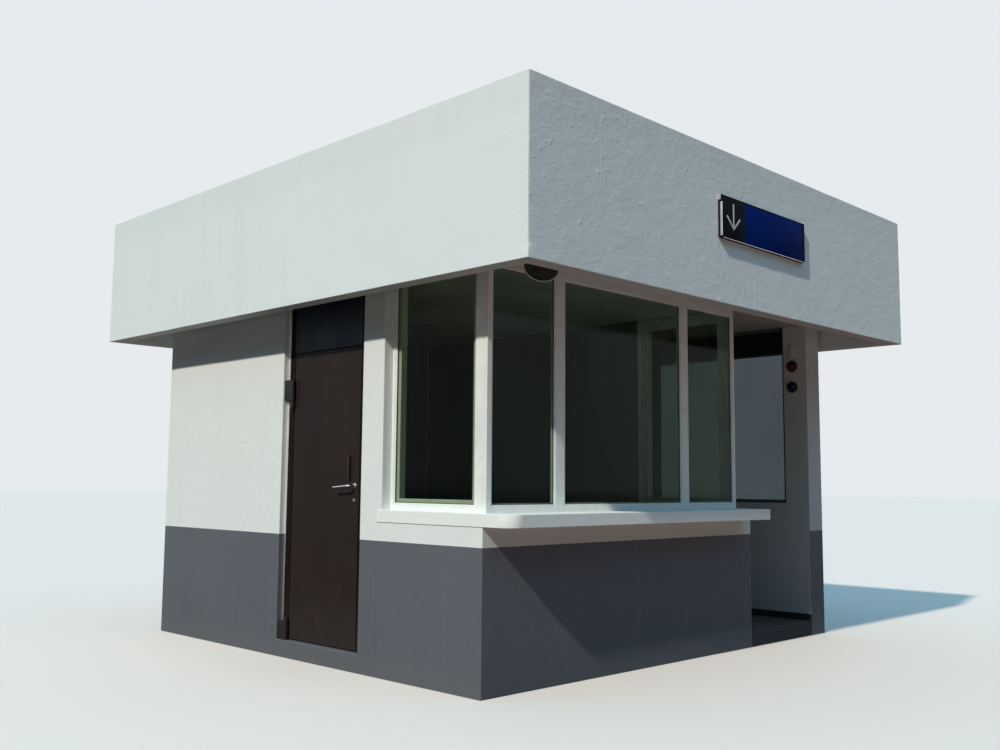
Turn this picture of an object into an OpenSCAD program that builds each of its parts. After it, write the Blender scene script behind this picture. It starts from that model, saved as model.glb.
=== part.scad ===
// Security guard booth: a glazed cabin with a serving counter, a covered
// passage beside it, and a deep white parapet roof that overhangs all round.
// Millimetres, +Z up. +X runs along the counter, +Y runs back along the door side.

/* [Cabin] */
// Length of the cabin along the counter
cabin_w = 3000; // [2400:10:4200]
// Depth of the booth from the counter wall to the rear wall
booth_d = 3920; // [3300:10:5200]
// Thickness of the cabin's masonry walls
wall_t = 200; // [180:5:240]
// Height of the built floor above the ground
floor_h = 120; // [60:5:200]
// Height of the grey painted dado
dado_h = 885; // [600:5:960]
// Height of the soffit above the ground
ceiling_h = 2690; // [2600:10:3000]

/* [Passage] */
// Clear width between the cabin and the end wall
passage_w = 965; // [800:5:1500]
// Thickness of the end wall
end_wall_t = 225; // [150:5:260]
// Width of the end wall's front pier, before its window
end_pier_w = 225; // [200:5:400]
// Width of the end wall's window
end_window_w = 1500; // [600:10:2000]
// Height of the end window's sill above the ground
end_sill_h = 1120; // [900:5:1300]
// Height of the dark skirting above the passage floor
skirting_h = 55; // [30:5:120]
// Thickness of the skirting
skirting_t = 10; // [6:1:20]

/* [Roof] */
// Overhang beyond the door wall
overhang_left = 305; // [200:5:600]
// Overhang in front of the counter wall
overhang_front = 650; // [400:5:900]
// Overhang beyond the end wall
overhang_right = 255; // [200:5:600]
// Overhang behind the rear wall
overhang_rear = 585; // [200:5:900]
// Thickness of the roof slab
roof_slab_t = 160; // [100:5:250]
// Thickness of the fascia
fascia_t = 120; // [80:5:160]
// Height of the fascia above its lower edge
fascia_h = 1075; // [600:5:1400]
// Drop of the fascia below the soffit
fascia_drop = 185; // [60:5:260]

/* [Counter] */
// Height of the counter slab's underside above the ground
counter_h = 1008; // [965:1:1100]
// Thickness of the counter slab
counter_t = 80; // [40:1:120]
// Projection of the counter slab in front of the wall
counter_out = 240; // [150:5:400]
// Projection of the slab's ledge from the door wall
ledge_out = 5; // [3:1:60]
// Reach of the ledge past the side window, on the door wall's face
ledge_past = 45; // [0:5:80]
// Reach of the slab past the walls' inner faces
counter_in = 60; // [20:5:300]
// Radius of the slab's round front corner
counter_r = 100; // [40:5:150]
// Distance from the slab's free end to the cabin's passage face
counter_stop = 100; // [0:5:200]

/* [Windows] */
// Depth of the side windows along the side walls
side_window_d = 960; // [700:5:1100]
// Setback of the front glazing from the counter wall's face
setback_front = 45; // [20:5:80]
// Setback of the side glazing from the door wall's face
setback_left = 75; // [20:5:110]
// Setback of the side glazing from the passage face
setback_right = 135; // [60:5:140]
// Depth of the frame members
frame_d = 70; // [50:5:90]
// Face width of the corner posts towards the counter
post_w = 50; // [40:5:90]
// Face width of the corner posts towards the sides
post_d = 112; // [60:1:140]
// Height of the frame's sill rail
sill_rail_h = 50; // [30:5:80]
// Height of the frame's head rail
head_rail_h = 70; // [40:5:120]
// Face width of the stile against the side walls
stile_w = 40; // [30:1:90]
// Face width of the front mullions
mullion_w = 112; // [60:1:140]
// Width of the front light next to the door side
first_light_w = 568; // [400:1:700]
// Width of the front light next to the passage
last_light_w = 590; // [400:5:700]
// Thickness of the window panes
pane_t = 6; // [4:1:12]
// Distance from a frame's outer face to its pane
pane_in = 10; // [8:1:34]
// Depth of the glazing grooves
groove_d = 12; // [6:1:20]
// Clearance between a pane and its groove
pane_play = 0.3; // [0.2:0.1:1]
// Face width of the end window's frame
end_frame_w = 28; // [20:1:50]
// Setback of the end window from the passage side
end_setback = 30; // [20:5:100]

/* [Door] */
// Distance from the counter wall's face to the doorway
doorway_y = 1190; // [1150:5:1400]
// Width of the doorway
doorway_w = 975; // [900:5:1100]
// Height of the door leaf
leaf_h = 2096; // [1980:1:2150]
// Thickness of the door leaf
leaf_t = 40; // [30:1:50]
// Recess of the leaf's outer face behind the wall's face
leaf_recess = 50; // [46:1:54]
// Gap under the leaf
leaf_gap_low = 8; // [5:1:15]
// Gap over the leaf
leaf_gap_top = 6; // [5:1:12]
// Gap at the leaf's hinge edge
leaf_gap_hinge = 5; // [5:1:8]
// Gap at the leaf's lock edge
leaf_gap_lock = 8; // [8:1:12]
// Recess of the door frame's outer face behind the wall's face
door_frame_recess = 50; // [50:1:60]
// Depth of the door frame
door_frame_d = 80; // [76:1:100]
// Face width of the door frame's jambs
jamb_w = 80; // [60:1:95]
// Width of the stop behind the leaf's edge
stop_w = 20; // [12:1:30]
// Height of the rail behind the joint between the leaf and the panel over it
rail_h = 50; // [45:5:80]
// Opening angle drawn: 0 is closed
door_angle = 0; // [0:5:95]

/* [Door hardware] */
// Distance of the hinge axis in front of the leaf's face
hinge_out = 22; // [21:1:26]
// Distance of the hinge axis past the leaf's edge
hinge_side = 3; // [0:1:6]
// Radius of the hinge pins
pin_r = 6; // [4:0.5:8]
// Radial clearance of the pins in their barrels
pin_play = 0.08; // [0.05:0.01:0.1]
// Radius of the fixed barrels
barrel_r = 19; // [16:1:20]
// Radius of the moving knuckles
knuckle_r = 15; // [12:1:17]
// Height of the upper hinge's fixed block
upper_block_h = 150; // [100:5:180]
// Height of the upper hinge's moving knuckle
upper_knuckle_h = 65; // [40:5:80]
// Height of the upper block's foot above the floor
upper_hinge_z = 1760; // [1500:5:1800]
// Height of the lower hinge's fixed block
lower_block_h = 130; // [100:5:180]
// Height of the lower hinge's moving knuckle
lower_knuckle_h = 35; // [30:5:80]
// Gap between a block and its knuckle
hinge_gap = 0.5; // [0.3:0.1:1]
// Height of the lever's spindle above the floor
lever_z = 1125; // [950:5:1150]
// Distance of the spindle from the leaf's lock edge
lever_backset = 46; // [44:1:90]
// Length of the lever
lever_l = 200; // [110:5:230]
// Radius of the lever's bar
lever_r = 9; // [6:0.5:11]
// Reach of the lever's bar off the leaf
lever_out = 48; // [35:1:60]
// Droop of the lever at rest, in degrees
lever_droop = 4; // [0:1:10]
// Radius of the lever's rosettes
rosette_r = 25; // [20:1:28]
// Thickness of the rosettes
rosette_t = 8; // [5:1:10]
// Radius of the spindle
spindle_r = 5; // [4:0.5:6]
// Drop of the key cylinder below the spindle
key_drop = 100; // [60:5:140]
// Radius of the key rosette
key_r = 16; // [12:1:22]
// Height of the pull bar's foot above the spindle
pull_up = 48; // [35:1:90]
// Length of the pull bar
pull_l = 165; // [100:5:300]
// Width of the pull bar
pull_w = 22; // [14:1:30]
// Reach of the pull bar off the leaf
pull_out = 24; // [15:1:40]
// Distance of the pull bar from the leaf's lock edge
pull_y = 96; // [60:1:140]

/* [Sign] */
// Width of the sign
sign_w = 1135; // [600:5:1500]
// Height of the sign
sign_h = 298; // [200:1:400]
// Thickness of the sign
sign_t = 30; // [20:1:60]
// Distance of the sign from the door wall's face
sign_x = 1585; // [600:5:1900]
// Height of the sign's foot above the fascia's lower edge
sign_up = 445; // [150:5:500]
// Width of the sign's arrow field
arrow_field_w = 290; // [200:5:400]
// Width of the sign's metal rim
sign_rim = 5; // [3:1:12]
// Depth of the sign's two fields behind the rim
sign_sink = 2; // [1:0.5:4]
// Height of the arrow
arrow_h = 195; // [120:5:250]
// Width of the arrow's head
arrow_w = 168; // [100:2:220]
// Width of the arrow's strokes
stroke_w = 16; // [8:1:30]

/* [Lamps] */
// Radius of the round lamp's rim, under the front soffit
dome_r = 116; // [80:1:130]
// Width of the round lamp's rim
dome_rim_w = 9; // [6:1:20]
// Depth of the round lamp from its rim to the back of its bowl
dome_depth = 67; // [50:1:80]
// Turn of the round lamp from straight ahead towards the door side, in degrees
dome_turn = 65; // [0:5:90]
// Tilt of the round lamp's face below level, in degrees
dome_tilt = 50; // [40:5:70]
// Distance of the rim's centre from the door wall's face
dome_x = 238; // [150:1:700]
// Distance of the rim's centre in front of the counter wall's face
dome_out = 250; // [160:5:380]
// Gap between the rim's highest point and the soffit
dome_gap = 27; // [20:1:60]
// Radius of the stem that holds the round lamp
dome_stem_r = 12; // [8:1:16]
// Radius of the signal lamps' lenses
signal_r = 46; // [30:1:60]
// Distance of the signal lamps from the end wall's front edge
signal_y = 137; // [70:1:160]
// Drop of the upper signal lamp below the soffit
signal_drop = 361; // [360:1:800]
// Spacing of the two signal lamps
signal_pitch = 186; // [130:2:300]
// Width of the small bulkhead light
bulkhead_w = 64; // [40:2:90]
// Height of the small bulkhead light
bulkhead_h = 125; // [80:5:160]
// Drop of the bulkhead light's foot below the soffit
bulkhead_drop = 290; // [200:5:290]

/* [Hidden] */
$fn = 72;
// Overlap of a cutting shape past the faces that it cuts
cut = 1;
// Whole length and depth over the fascia and the sign
booth_w = cabin_w + passage_w + end_wall_t;
whole_w = overhang_left + booth_w + overhang_right;
whole_d = sign_t + overhang_front + booth_d + overhang_rear;
// Outer corner of the door wall and the counter wall, in the part's own frame
corner_x = -whole_w / 2 + overhang_left;
corner_y = -whole_d / 2 + overhang_front + sign_t;
// Heights
counter_top = counter_h + counter_t;
head_z = ceiling_h - head_rail_h;
sill_z = counter_top + sill_rail_h;
fascia_z = ceiling_h - fascia_drop;
end_wall_x = cabin_w + passage_w;
// Front glazing between its posts
glazing_x0 = setback_left;
glazing_x1 = cabin_w - setback_right;
first_mullion_x = glazing_x0 + post_w + first_light_w;
last_mullion_x = glazing_x1 - post_w - last_light_w - mullion_w;
front_lights = [
    [glazing_x0 + post_w, first_mullion_x],
    [first_mullion_x + mullion_w, last_mullion_x],
    [last_mullion_x + mullion_w, glazing_x1 - post_w]
];
side_light_y0 = setback_front + post_d;
side_light_y1 = side_window_d - stile_w;
end_light_y0 = end_pier_w + end_frame_w;
end_light_y1 = end_pier_w + end_window_w - end_frame_w;
groove_t = pane_t + 2 * pane_play;
// Doorway and leaf
doorway_y1 = doorway_y + doorway_w;
leaf_x0 = leaf_recess;
leaf_x1 = leaf_recess + leaf_t;
leaf_y0 = doorway_y + jamb_w + leaf_gap_lock;
leaf_y1 = doorway_y1 - jamb_w - leaf_gap_hinge;
leaf_z0 = floor_h + leaf_gap_low;
leaf_z1 = leaf_z0 + leaf_h;
panel_z0 = leaf_z1 + leaf_gap_top;
rail_z0 = panel_z0 - stop_w;
stop_x = leaf_x1 + 6;
axis_x = leaf_x0 - hinge_out;
axis_y = leaf_y1 + hinge_side;
lever_y = leaf_y0 + lever_backset;
spindle_z = floor_h + lever_z;
// Sign
sign_y = -overhang_front - sign_t;
sign_z = fascia_z + sign_up;
field_y0 = sign_y + sign_sink;
field_y1 = sign_y + sign_t / 2;
field_split = sign_x + sign_rim + arrow_field_w;
// Lamps on the end wall's front pier
signal_z = ceiling_h - signal_drop;
bulkhead_z = ceiling_h - bulkhead_drop;

// Puts its children in the frame that starts at the outer wall corner
module from_corner() {
    translate([corner_x, corner_y, 0]) children();
}

// A box between two opposite corners
module block(low, high) {
    translate(low) cube(high - low);
}

// Turns the moving door parts about the hinge axis
module on_leaf() {
    from_corner()
        translate([axis_x, axis_y, 0])
            rotate(-door_angle)
                translate([-axis_x, -axis_y, 0])
                    children();
}

// A cylinder that starts at a point and runs along +X
module rod_x(at, r, l) {
    translate(at) rotate([0, 90, 0]) cylinder(r = r, h = l);
}

// Floors

module cabin_floor() {
    color("darkgray")
        from_corner()
            block([wall_t, wall_t, 0], [cabin_w - wall_t, booth_d - wall_t, floor_h]);
}

module passage_floor() {
    color("dimgray")
        from_corner()
            block([cabin_w, 0, 0], [end_wall_x, booth_d, floor_h]);
}

module passage_skirting() {
    color("darkslategray")
        from_corner()
            block([end_wall_x - skirting_t, 0, floor_h], [end_wall_x, booth_d, floor_h + skirting_h]);
}

// Grey dado courses of the cabin

module front_dado() {
    color("slategray")
        from_corner()
            block([0, 0, 0], [cabin_w, wall_t, dado_h]);
}

// Two lengths, one on each side of the doorway
module left_dado() {
    color("slategray")
        from_corner() {
            block([0, wall_t, 0], [wall_t, doorway_y, dado_h]);
            block([0, doorway_y1, 0], [wall_t, booth_d - wall_t, dado_h]);
        }
}

module door_threshold() {
    color("slategray")
        from_corner()
            block([0, doorway_y, 0], [wall_t, doorway_y1, floor_h]);
}

module rear_dado() {
    color("slategray")
        from_corner()
            block([0, booth_d - wall_t, 0], [cabin_w, booth_d, dado_h]);
}

module right_dado() {
    color("slategray")
        from_corner()
            block([cabin_w - wall_t, wall_t, 0], [cabin_w, booth_d - wall_t, dado_h]);
}

// White bands between the dado and the counter slab

module front_sill_band() {
    color("whitesmoke")
        from_corner()
            block([0, 0, dado_h], [cabin_w, wall_t, counter_h]);
}

module side_sill_bands() {
    color("whitesmoke")
        from_corner()
            for (x0 = [0, cabin_w - wall_t])
                block([x0, wall_t, dado_h], [x0 + wall_t, side_window_d, counter_h]);
}

// White upper walls

module left_pier() {
    color("whitesmoke")
        from_corner()
            block([0, side_window_d, dado_h], [wall_t, doorway_y, ceiling_h]);
}

module left_wall_rear() {
    color("whitesmoke")
        from_corner()
            block([0, doorway_y1, dado_h], [wall_t, booth_d - wall_t, ceiling_h]);
}

module rear_wall() {
    color("whitesmoke")
        from_corner()
            block([0, booth_d - wall_t, dado_h], [cabin_w, booth_d, ceiling_h]);
}

module right_wall() {
    color("whitesmoke")
        from_corner()
            block([cabin_w - wall_t, side_window_d, dado_h], [cabin_w, booth_d - wall_t, ceiling_h]);
}

// End wall, in three masses round its window

module end_wall_base() {
    color("whitesmoke")
        from_corner()
            block([end_wall_x, 0, 0], [booth_w, booth_d, end_sill_h]);
}

module end_wall_front_pier() {
    color("whitesmoke")
        from_corner()
            block([end_wall_x, 0, end_sill_h], [booth_w, end_pier_w, ceiling_h]);
}

module end_wall_rear() {
    color("whitesmoke")
        from_corner()
            block([end_wall_x, end_pier_w + end_window_w, end_sill_h], [booth_w, booth_d, ceiling_h]);
}

// Roof slab with the fascia that hides it

module roof_slab() {
    color("silver")
        from_corner()
            block(
                [fascia_t - overhang_left, fascia_t - overhang_front, ceiling_h],
                [booth_w + overhang_right - fascia_t, booth_d + overhang_rear - fascia_t,
                 ceiling_h + roof_slab_t]
            );
}

module fascia_front() {
    color("white")
        from_corner()
            block(
                [-overhang_left, -overhang_front, fascia_z],
                [booth_w + overhang_right, fascia_t - overhang_front, fascia_z + fascia_h]
            );
}

module fascia_rear() {
    color("white")
        from_corner()
            block(
                [-overhang_left, booth_d + overhang_rear - fascia_t, fascia_z],
                [booth_w + overhang_right, booth_d + overhang_rear, fascia_z + fascia_h]
            );
}

// One side of the fascia, between the front and the rear one
module fascia_side(x0) {
    color("white")
        from_corner()
            block(
                [x0, fascia_t - overhang_front, fascia_z],
                [x0 + fascia_t, booth_d + overhang_rear - fascia_t, fascia_z + fascia_h]
            );
}

module fascia_left() {
    fascia_side(-overhang_left);
}

module fascia_right() {
    fascia_side(booth_w + overhang_right - fascia_t);
}

// Counter slab: a shelf with one round corner that caps the low walls on three sides

module counter_outline() {
    front_w = cabin_w - counter_stop + ledge_out;
    inner = wall_t + counter_in;
    translate([-ledge_out, counter_r - counter_out])
        square([front_w, counter_out - counter_r + inner]);
    translate([counter_r - ledge_out, -counter_out])
        square([front_w - counter_r, counter_out]);
    translate([counter_r - ledge_out, counter_r - counter_out])
        circle(r = counter_r);
    translate([-ledge_out, 0])
        square([ledge_out, side_window_d + ledge_past]);
    square([inner, side_window_d]);
    square([cabin_w, inner]);
    translate([cabin_w - inner, 0])
        square([inner, side_window_d]);
}

module counter_slab() {
    color("white")
        from_corner()
            translate([0, 0, counter_h])
                linear_extrude(counter_t)
                    counter_outline();
}

// Window frames with glazing grooves

module corner_posts() {
    pane_y = setback_front + pane_in - pane_play;
    color("white")
        from_corner() {
            difference() {
                block([glazing_x0, setback_front, counter_top],
                      [glazing_x0 + post_w, side_light_y0, ceiling_h]);
                // Groove of the front pane
                block([glazing_x0 + post_w - groove_d, pane_y, sill_z - groove_d],
                      [glazing_x0 + post_w + cut, pane_y + groove_t, head_z + groove_d]);
                // Groove of the side pane
                block([glazing_x0 + pane_in - pane_play, side_light_y0 - groove_d, sill_z - groove_d],
                      [glazing_x0 + pane_in - pane_play + groove_t, side_light_y0 + cut,
                       head_z + groove_d]);
            }
            difference() {
                block([glazing_x1 - post_w, setback_front, counter_top],
                      [glazing_x1, side_light_y0, ceiling_h]);
                block([glazing_x1 - post_w - cut, pane_y, sill_z - groove_d],
                      [glazing_x1 - post_w + groove_d, pane_y + groove_t, head_z + groove_d]);
                block([glazing_x1 - pane_in + pane_play - groove_t, side_light_y0 - groove_d,
                       sill_z - groove_d],
                      [glazing_x1 - pane_in + pane_play, side_light_y0 + cut, head_z + groove_d]);
            }
        }
}

module front_window_frame() {
    y0 = setback_front;
    pane_y = y0 + pane_in - pane_play;
    color("white")
        from_corner()
            difference() {
                block([glazing_x0 + post_w, y0, counter_top],
                      [glazing_x1 - post_w, y0 + frame_d, ceiling_h]);
                for (i = [0 : len(front_lights) - 1]) {
                    // The outer lights run on to the corner posts
                    open_left = i == 0 ? cut : 0;
                    open_right = i == len(front_lights) - 1 ? cut : 0;
                    x0 = front_lights[i][0];
                    x1 = front_lights[i][1];
                    block([x0 - open_left, y0 - cut, sill_z],
                          [x1 + open_right, y0 + frame_d + cut, head_z]);
                    block([x0 - (i == 0 ? cut : groove_d), pane_y, sill_z - groove_d],
                          [x1 + (i == len(front_lights) - 1 ? cut : groove_d), pane_y + groove_t,
                           head_z + groove_d]);
                }
            }
}

// A side window's sill rail, head rail and stile, with its outer face at x = 0
module side_window_frame() {
    difference() {
        block([0, side_light_y0, counter_top], [frame_d, side_window_d, ceiling_h]);
        block([-cut, side_light_y0 - cut, sill_z], [frame_d + cut, side_light_y1, head_z]);
        block([pane_in - pane_play, side_light_y0 - cut, sill_z - groove_d],
              [pane_in - pane_play + groove_t, side_light_y1 + groove_d, head_z + groove_d]);
    }
}

module side_window_frames() {
    color("white")
        from_corner() {
            translate([glazing_x0, 0, 0]) side_window_frame();
            translate([glazing_x1, 0, 0]) mirror([1, 0, 0]) side_window_frame();
        }
}

module end_window_frame() {
    x0 = end_wall_x + end_setback;
    color("dimgray")
        from_corner()
            difference() {
                block([x0, end_pier_w, end_sill_h], [x0 + frame_d, end_pier_w + end_window_w, ceiling_h]);
                block([x0 - cut, end_light_y0, end_sill_h + end_frame_w],
                      [x0 + frame_d + cut, end_light_y1, ceiling_h - end_frame_w]);
                block([x0 + pane_in - pane_play, end_light_y0 - groove_d,
                       end_sill_h + end_frame_w - groove_d],
                      [x0 + pane_in - pane_play + groove_t, end_light_y1 + groove_d,
                       ceiling_h - end_frame_w + groove_d]);
            }
}

// Panes, held in the grooves with a small clearance all round

module front_panes() {
    grip = groove_d - pane_play;
    y0 = setback_front + pane_in;
    color("darkslategray", 0.5)
        from_corner()
            for (light = front_lights)
                block([light[0] - grip, y0, sill_z - grip], [light[1] + grip, y0 + pane_t, head_z + grip]);
}

module side_panes() {
    grip = groove_d - pane_play;
    color("darkslategray", 0.5)
        from_corner()
            for (x0 = [glazing_x0 + pane_in, glazing_x1 - pane_in - pane_t])
                block([x0, side_light_y0 - grip, sill_z - grip],
                      [x0 + pane_t, side_light_y1 + grip, head_z + grip]);
}

module end_pane() {
    grip = groove_d - pane_play;
    x0 = end_wall_x + end_setback + pane_in;
    color("darkslategray", 0.5)
        from_corner()
            block([x0, end_light_y0 - grip, end_sill_h + end_frame_w - grip],
                  [x0 + pane_t, end_light_y1 + grip, ceiling_h - end_frame_w + grip]);
}

// Door frame: rebated jambs and head, and a rail behind the joint over the leaf

module door_frame() {
    x0 = door_frame_recess;
    x1 = x0 + door_frame_d;
    color("#33292a")
        from_corner()
            difference() {
                block([x0, doorway_y, floor_h], [x1, doorway_y1, ceiling_h]);
                // Rebate that takes the leaf and the panel over it
                block([x0 - cut, doorway_y + jamb_w, floor_h - cut],
                      [stop_x, doorway_y1 - jamb_w, head_z]);
                // Clear way through
                block([x0 - cut, doorway_y + jamb_w + stop_w, floor_h - cut],
                      [x1 + cut, doorway_y1 - jamb_w - stop_w, rail_z0]);
                // Open back of the panel, over the rail
                block([x0 - cut, doorway_y + jamb_w + stop_w, rail_z0 + rail_h],
                      [x1 + cut, doorway_y1 - jamb_w - stop_w, head_z - stop_w]);
            }
}

// Solid panel over the leaf, flush with it and seated on the frame's stops
module transom_pane() {
    color("#3a2d2e")
        from_corner()
            block([leaf_x0, doorway_y + jamb_w, panel_z0], [stop_x, doorway_y1 - jamb_w, head_z]);
}

// Hinges: a fixed block with a bored barrel on the frame, and a knuckle with
// its pin on the leaf

module hinge_block(z0, h) {
    translate([0, 0, z0])
        difference() {
            linear_extrude(h)
                union() {
                    translate([axis_x, axis_y]) circle(r = barrel_r);
                    translate([axis_x + 4 - barrel_r, axis_y])
                        square([door_frame_recess - axis_x - 4 + barrel_r, doorway_y1 - axis_y]);
                }
            translate([axis_x, axis_y, -cut])
                cylinder(r = pin_r + pin_play, h = h + 2 * cut);
        }
}

module hinge_blocks() {
    color("#2b2a2d")
        from_corner() {
            hinge_block(floor_h, lower_block_h);
            hinge_block(floor_h + upper_hinge_z, upper_block_h);
        }
}

// A knuckle with the lug that joins it to the leaf; the pin reaches up or down
// into a block that is block_h high
module hinge_knuckle(z0, h, block_h, pin_up) {
    pin_l = hinge_gap + 0.6 * block_h;
    translate([axis_x, axis_y, z0]) {
        cylinder(r = knuckle_r, h = h);
        translate([0, 0, pin_up ? h : -pin_l]) cylinder(r = pin_r, h = pin_l);
    }
    block([axis_x, axis_y - knuckle_r, z0], [leaf_x0, leaf_y1, z0 + h]);
}

module hinge_knuckles() {
    upper_z = floor_h + upper_hinge_z - hinge_gap - upper_knuckle_h;
    lower_z = floor_h + lower_block_h + hinge_gap;
    color("#2b2a2d")
        on_leaf() {
            hinge_knuckle(upper_z, upper_knuckle_h, upper_block_h, true);
            hinge_knuckle(lower_z, lower_knuckle_h, lower_block_h, false);
        }
}

module door_leaf() {
    color("#3a2d2e")
        on_leaf()
            difference() {
                block([leaf_x0, leaf_y0, leaf_z0], [leaf_x1, leaf_y1, leaf_z1]);
                rod_x([leaf_x0 - cut, lever_y, spindle_z], spindle_r + 1, leaf_t + 2 * cut);
            }
}

// Rosettes of the lever and the key on both faces, and the pull bar outside
module door_furniture() {
    key_z = spindle_z - key_drop;
    pull_z = spindle_z + pull_up;
    bar_t = 8;
    color("gray")
        on_leaf() {
            for (x0 = [leaf_x0 - rosette_t, leaf_x1])
                difference() {
                    rod_x([x0, lever_y, spindle_z], rosette_r, rosette_t);
                    rod_x([x0 - cut, lever_y, spindle_z], lever_r + 1, rosette_t + 2 * cut);
                }
            for (x0 = [leaf_x0 - rosette_t, leaf_x1])
                rod_x([x0, lever_y, key_z], key_r, rosette_t);
            block([leaf_x0 - pull_out, leaf_y0 + pull_y - pull_w / 2, pull_z],
                  [leaf_x0 - pull_out + bar_t, leaf_y0 + pull_y + pull_w / 2, pull_z + pull_l]);
            for (z0 = [pull_z, pull_z + pull_l - pull_w])
                block([leaf_x0 - pull_out + bar_t, leaf_y0 + pull_y - pull_w / 2, z0],
                      [leaf_x0, leaf_y0 + pull_y + pull_w / 2, z0 + pull_w]);
        }
}

// One lever: a neck, a bend and a bar that tapers to a round end.
// x0 is the leaf's face, and the lever on the inner face is mirrored.
module lever_arm(x0, inner) {
    bend_r = 2 * lever_r;
    tip_r = 0.75 * lever_r;
    translate([x0, lever_y, spindle_z])
        rotate([-lever_droop, 0, 0])
            mirror([inner ? 1 : 0, 0, 0]) {
                rod_x([bend_r - lever_out, 0, 0], lever_r, lever_out - bend_r);
                translate([bend_r - lever_out, bend_r, 0])
                    rotate(180)
                        rotate_extrude(angle = 90)
                            translate([bend_r, 0]) circle(r = lever_r);
                translate([-lever_out, bend_r, 0])
                    rotate([-90, 0, 0])
                        cylinder(r1 = lever_r, r2 = tip_r, h = lever_l - bend_r - lever_r - tip_r);
                translate([-lever_out, lever_l - lever_r - tip_r, 0]) sphere(r = tip_r);
            }
}

module door_lever() {
    seat = 0.3;
    color("silver")
        on_leaf() {
            lever_arm(leaf_x0 - seat, false);
            lever_arm(leaf_x1 + seat, true);
            rod_x([leaf_x0 - lever_r, lever_y, spindle_z], spindle_r, leaf_t + 2 * lever_r);
        }
}

// Sign box on the front fascia: a metal tray, two fields and a plain arrow

module sign_box() {
    color("silver")
        from_corner()
            difference() {
                block([sign_x, sign_y, sign_z], [sign_x + sign_w, -overhang_front, sign_z + sign_h]);
                block([sign_x + sign_rim, sign_y - cut, sign_z + sign_rim],
                      [sign_x + sign_w - sign_rim, field_y1, sign_z + sign_h - sign_rim]);
            }
}

module sign_arrow_field() {
    color("black")
        from_corner()
            block([sign_x + sign_rim, field_y0, sign_z + sign_rim],
                  [field_split, field_y1, sign_z + sign_h - sign_rim]);
}

module sign_blank_field() {
    color("navy")
        from_corner()
            block([field_split, field_y0, sign_z + sign_rim],
                  [sign_x + sign_w - sign_rim, field_y1, sign_z + sign_h - sign_rim]);
}

// A plain arrow that points down, with its tip at the origin
module arrow_outline() {
    half = stroke_w / 2;
    step = stroke_w / sqrt(2);
    arm = arrow_w / 2;
    polygon([
        [0, 0],
        [arm, arm],
        [arm - step, arm + step],
        [half, 2 * step + half],
        [half, arrow_h],
        [-half, arrow_h],
        [-half, 2 * step + half],
        [step - arm, arm + step],
        [-arm, arm]
    ]);
}

module sign_arrow() {
    color("lightgray")
        from_corner()
            translate([sign_x + sign_rim + arrow_field_w / 2, field_y0, sign_z + (sign_h - arrow_h) / 2])
                rotate([90, 0, 0])
                    linear_extrude(sign_sink / 2)
                        arrow_outline();
}

// Round lamp under the front soffit: a rimmed bowl on a short stem, tilted down
module dome_lamp() {
    rim_t = 12;
    recess = 4;
    bowl_r = dome_r - 8;
    bowl_h = dome_depth - rim_t;
    // Radius of the sphere that the bowl's back is a cap of
    cap_r = (bowl_r * bowl_r + bowl_h * bowl_h) / (2 * bowl_h);
    // Whole millimetres, so that the stem's base ends flush with the soffit
    drop = round(dome_gap + dome_r * cos(dome_tilt));
    // The stem stands on the bowl, just inside its back
    reach = bowl_h * cos(dome_tilt);
    rise = round(bowl_h * sin(dome_tilt));
    base_t = 8;
    color("#24211f")
        from_corner()
            translate([dome_x, -dome_out, ceiling_h - drop]) {
                rotate([dome_tilt - 90, 0, -dome_turn])
                    difference() {
                        union() {
                            cylinder(r = dome_r, h = rim_t);
                            intersection() {
                                translate([0, 0, dome_depth - cap_r]) sphere(r = cap_r);
                                cylinder(r = dome_r, h = 2 * dome_depth);
                                translate([-dome_r, -dome_r, rim_t - cut])
                                    cube([2 * dome_r, 2 * dome_r, dome_depth]);
                            }
                        }
                        translate([0, 0, -cut]) cylinder(r = dome_r - dome_rim_w, h = recess + cut);
                    }
                translate([reach * sin(dome_turn), reach * cos(dome_turn), 0]) {
                    translate([0, 0, rise]) cylinder(r = dome_stem_r, h = drop - rise);
                    translate([0, 0, drop - base_t]) cylinder(r = 3 * dome_stem_r, h = base_t);
                }
            }
}

// One signal lamp on the end wall's passage face: a back ring and a domed lens
module signal_lamp(z) {
    ring_t = 12;
    translate([end_wall_x, signal_y, z])
        rotate([0, -90, 0]) {
            cylinder(r = signal_r + 5, h = ring_t);
            intersection() {
                translate([0, 0, ring_t]) sphere(r = signal_r);
                translate([-2 * signal_r, -2 * signal_r, ring_t])
                    cube([4 * signal_r, 4 * signal_r, 2 * signal_r]);
            }
        }
}

module signal_lamp_red() {
    color("maroon")
        from_corner()
            signal_lamp(signal_z);
}

module signal_lamp_blue() {
    color("midnightblue")
        from_corner()
            signal_lamp(signal_z - signal_pitch);
}

// Small bulkhead light over the signal lamps: a back plate and a half-round housing
module bulkhead_light() {
    plate_t = 8;
    rim = 5;
    r = bulkhead_w / 2 - rim;
    x0 = end_wall_x - plate_t;
    color("wheat")
        from_corner() {
            block([x0, signal_y - bulkhead_w / 2, bulkhead_z],
                  [end_wall_x, signal_y + bulkhead_w / 2, bulkhead_z + bulkhead_h]);
            translate([x0, signal_y, bulkhead_z + rim])
                intersection() {
                    cylinder(r = r, h = bulkhead_h - 2 * rim);
                    translate([-2 * r, -2 * r, -cut]) cube([2 * r, 4 * r, bulkhead_h]);
                }
        }
}

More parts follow.
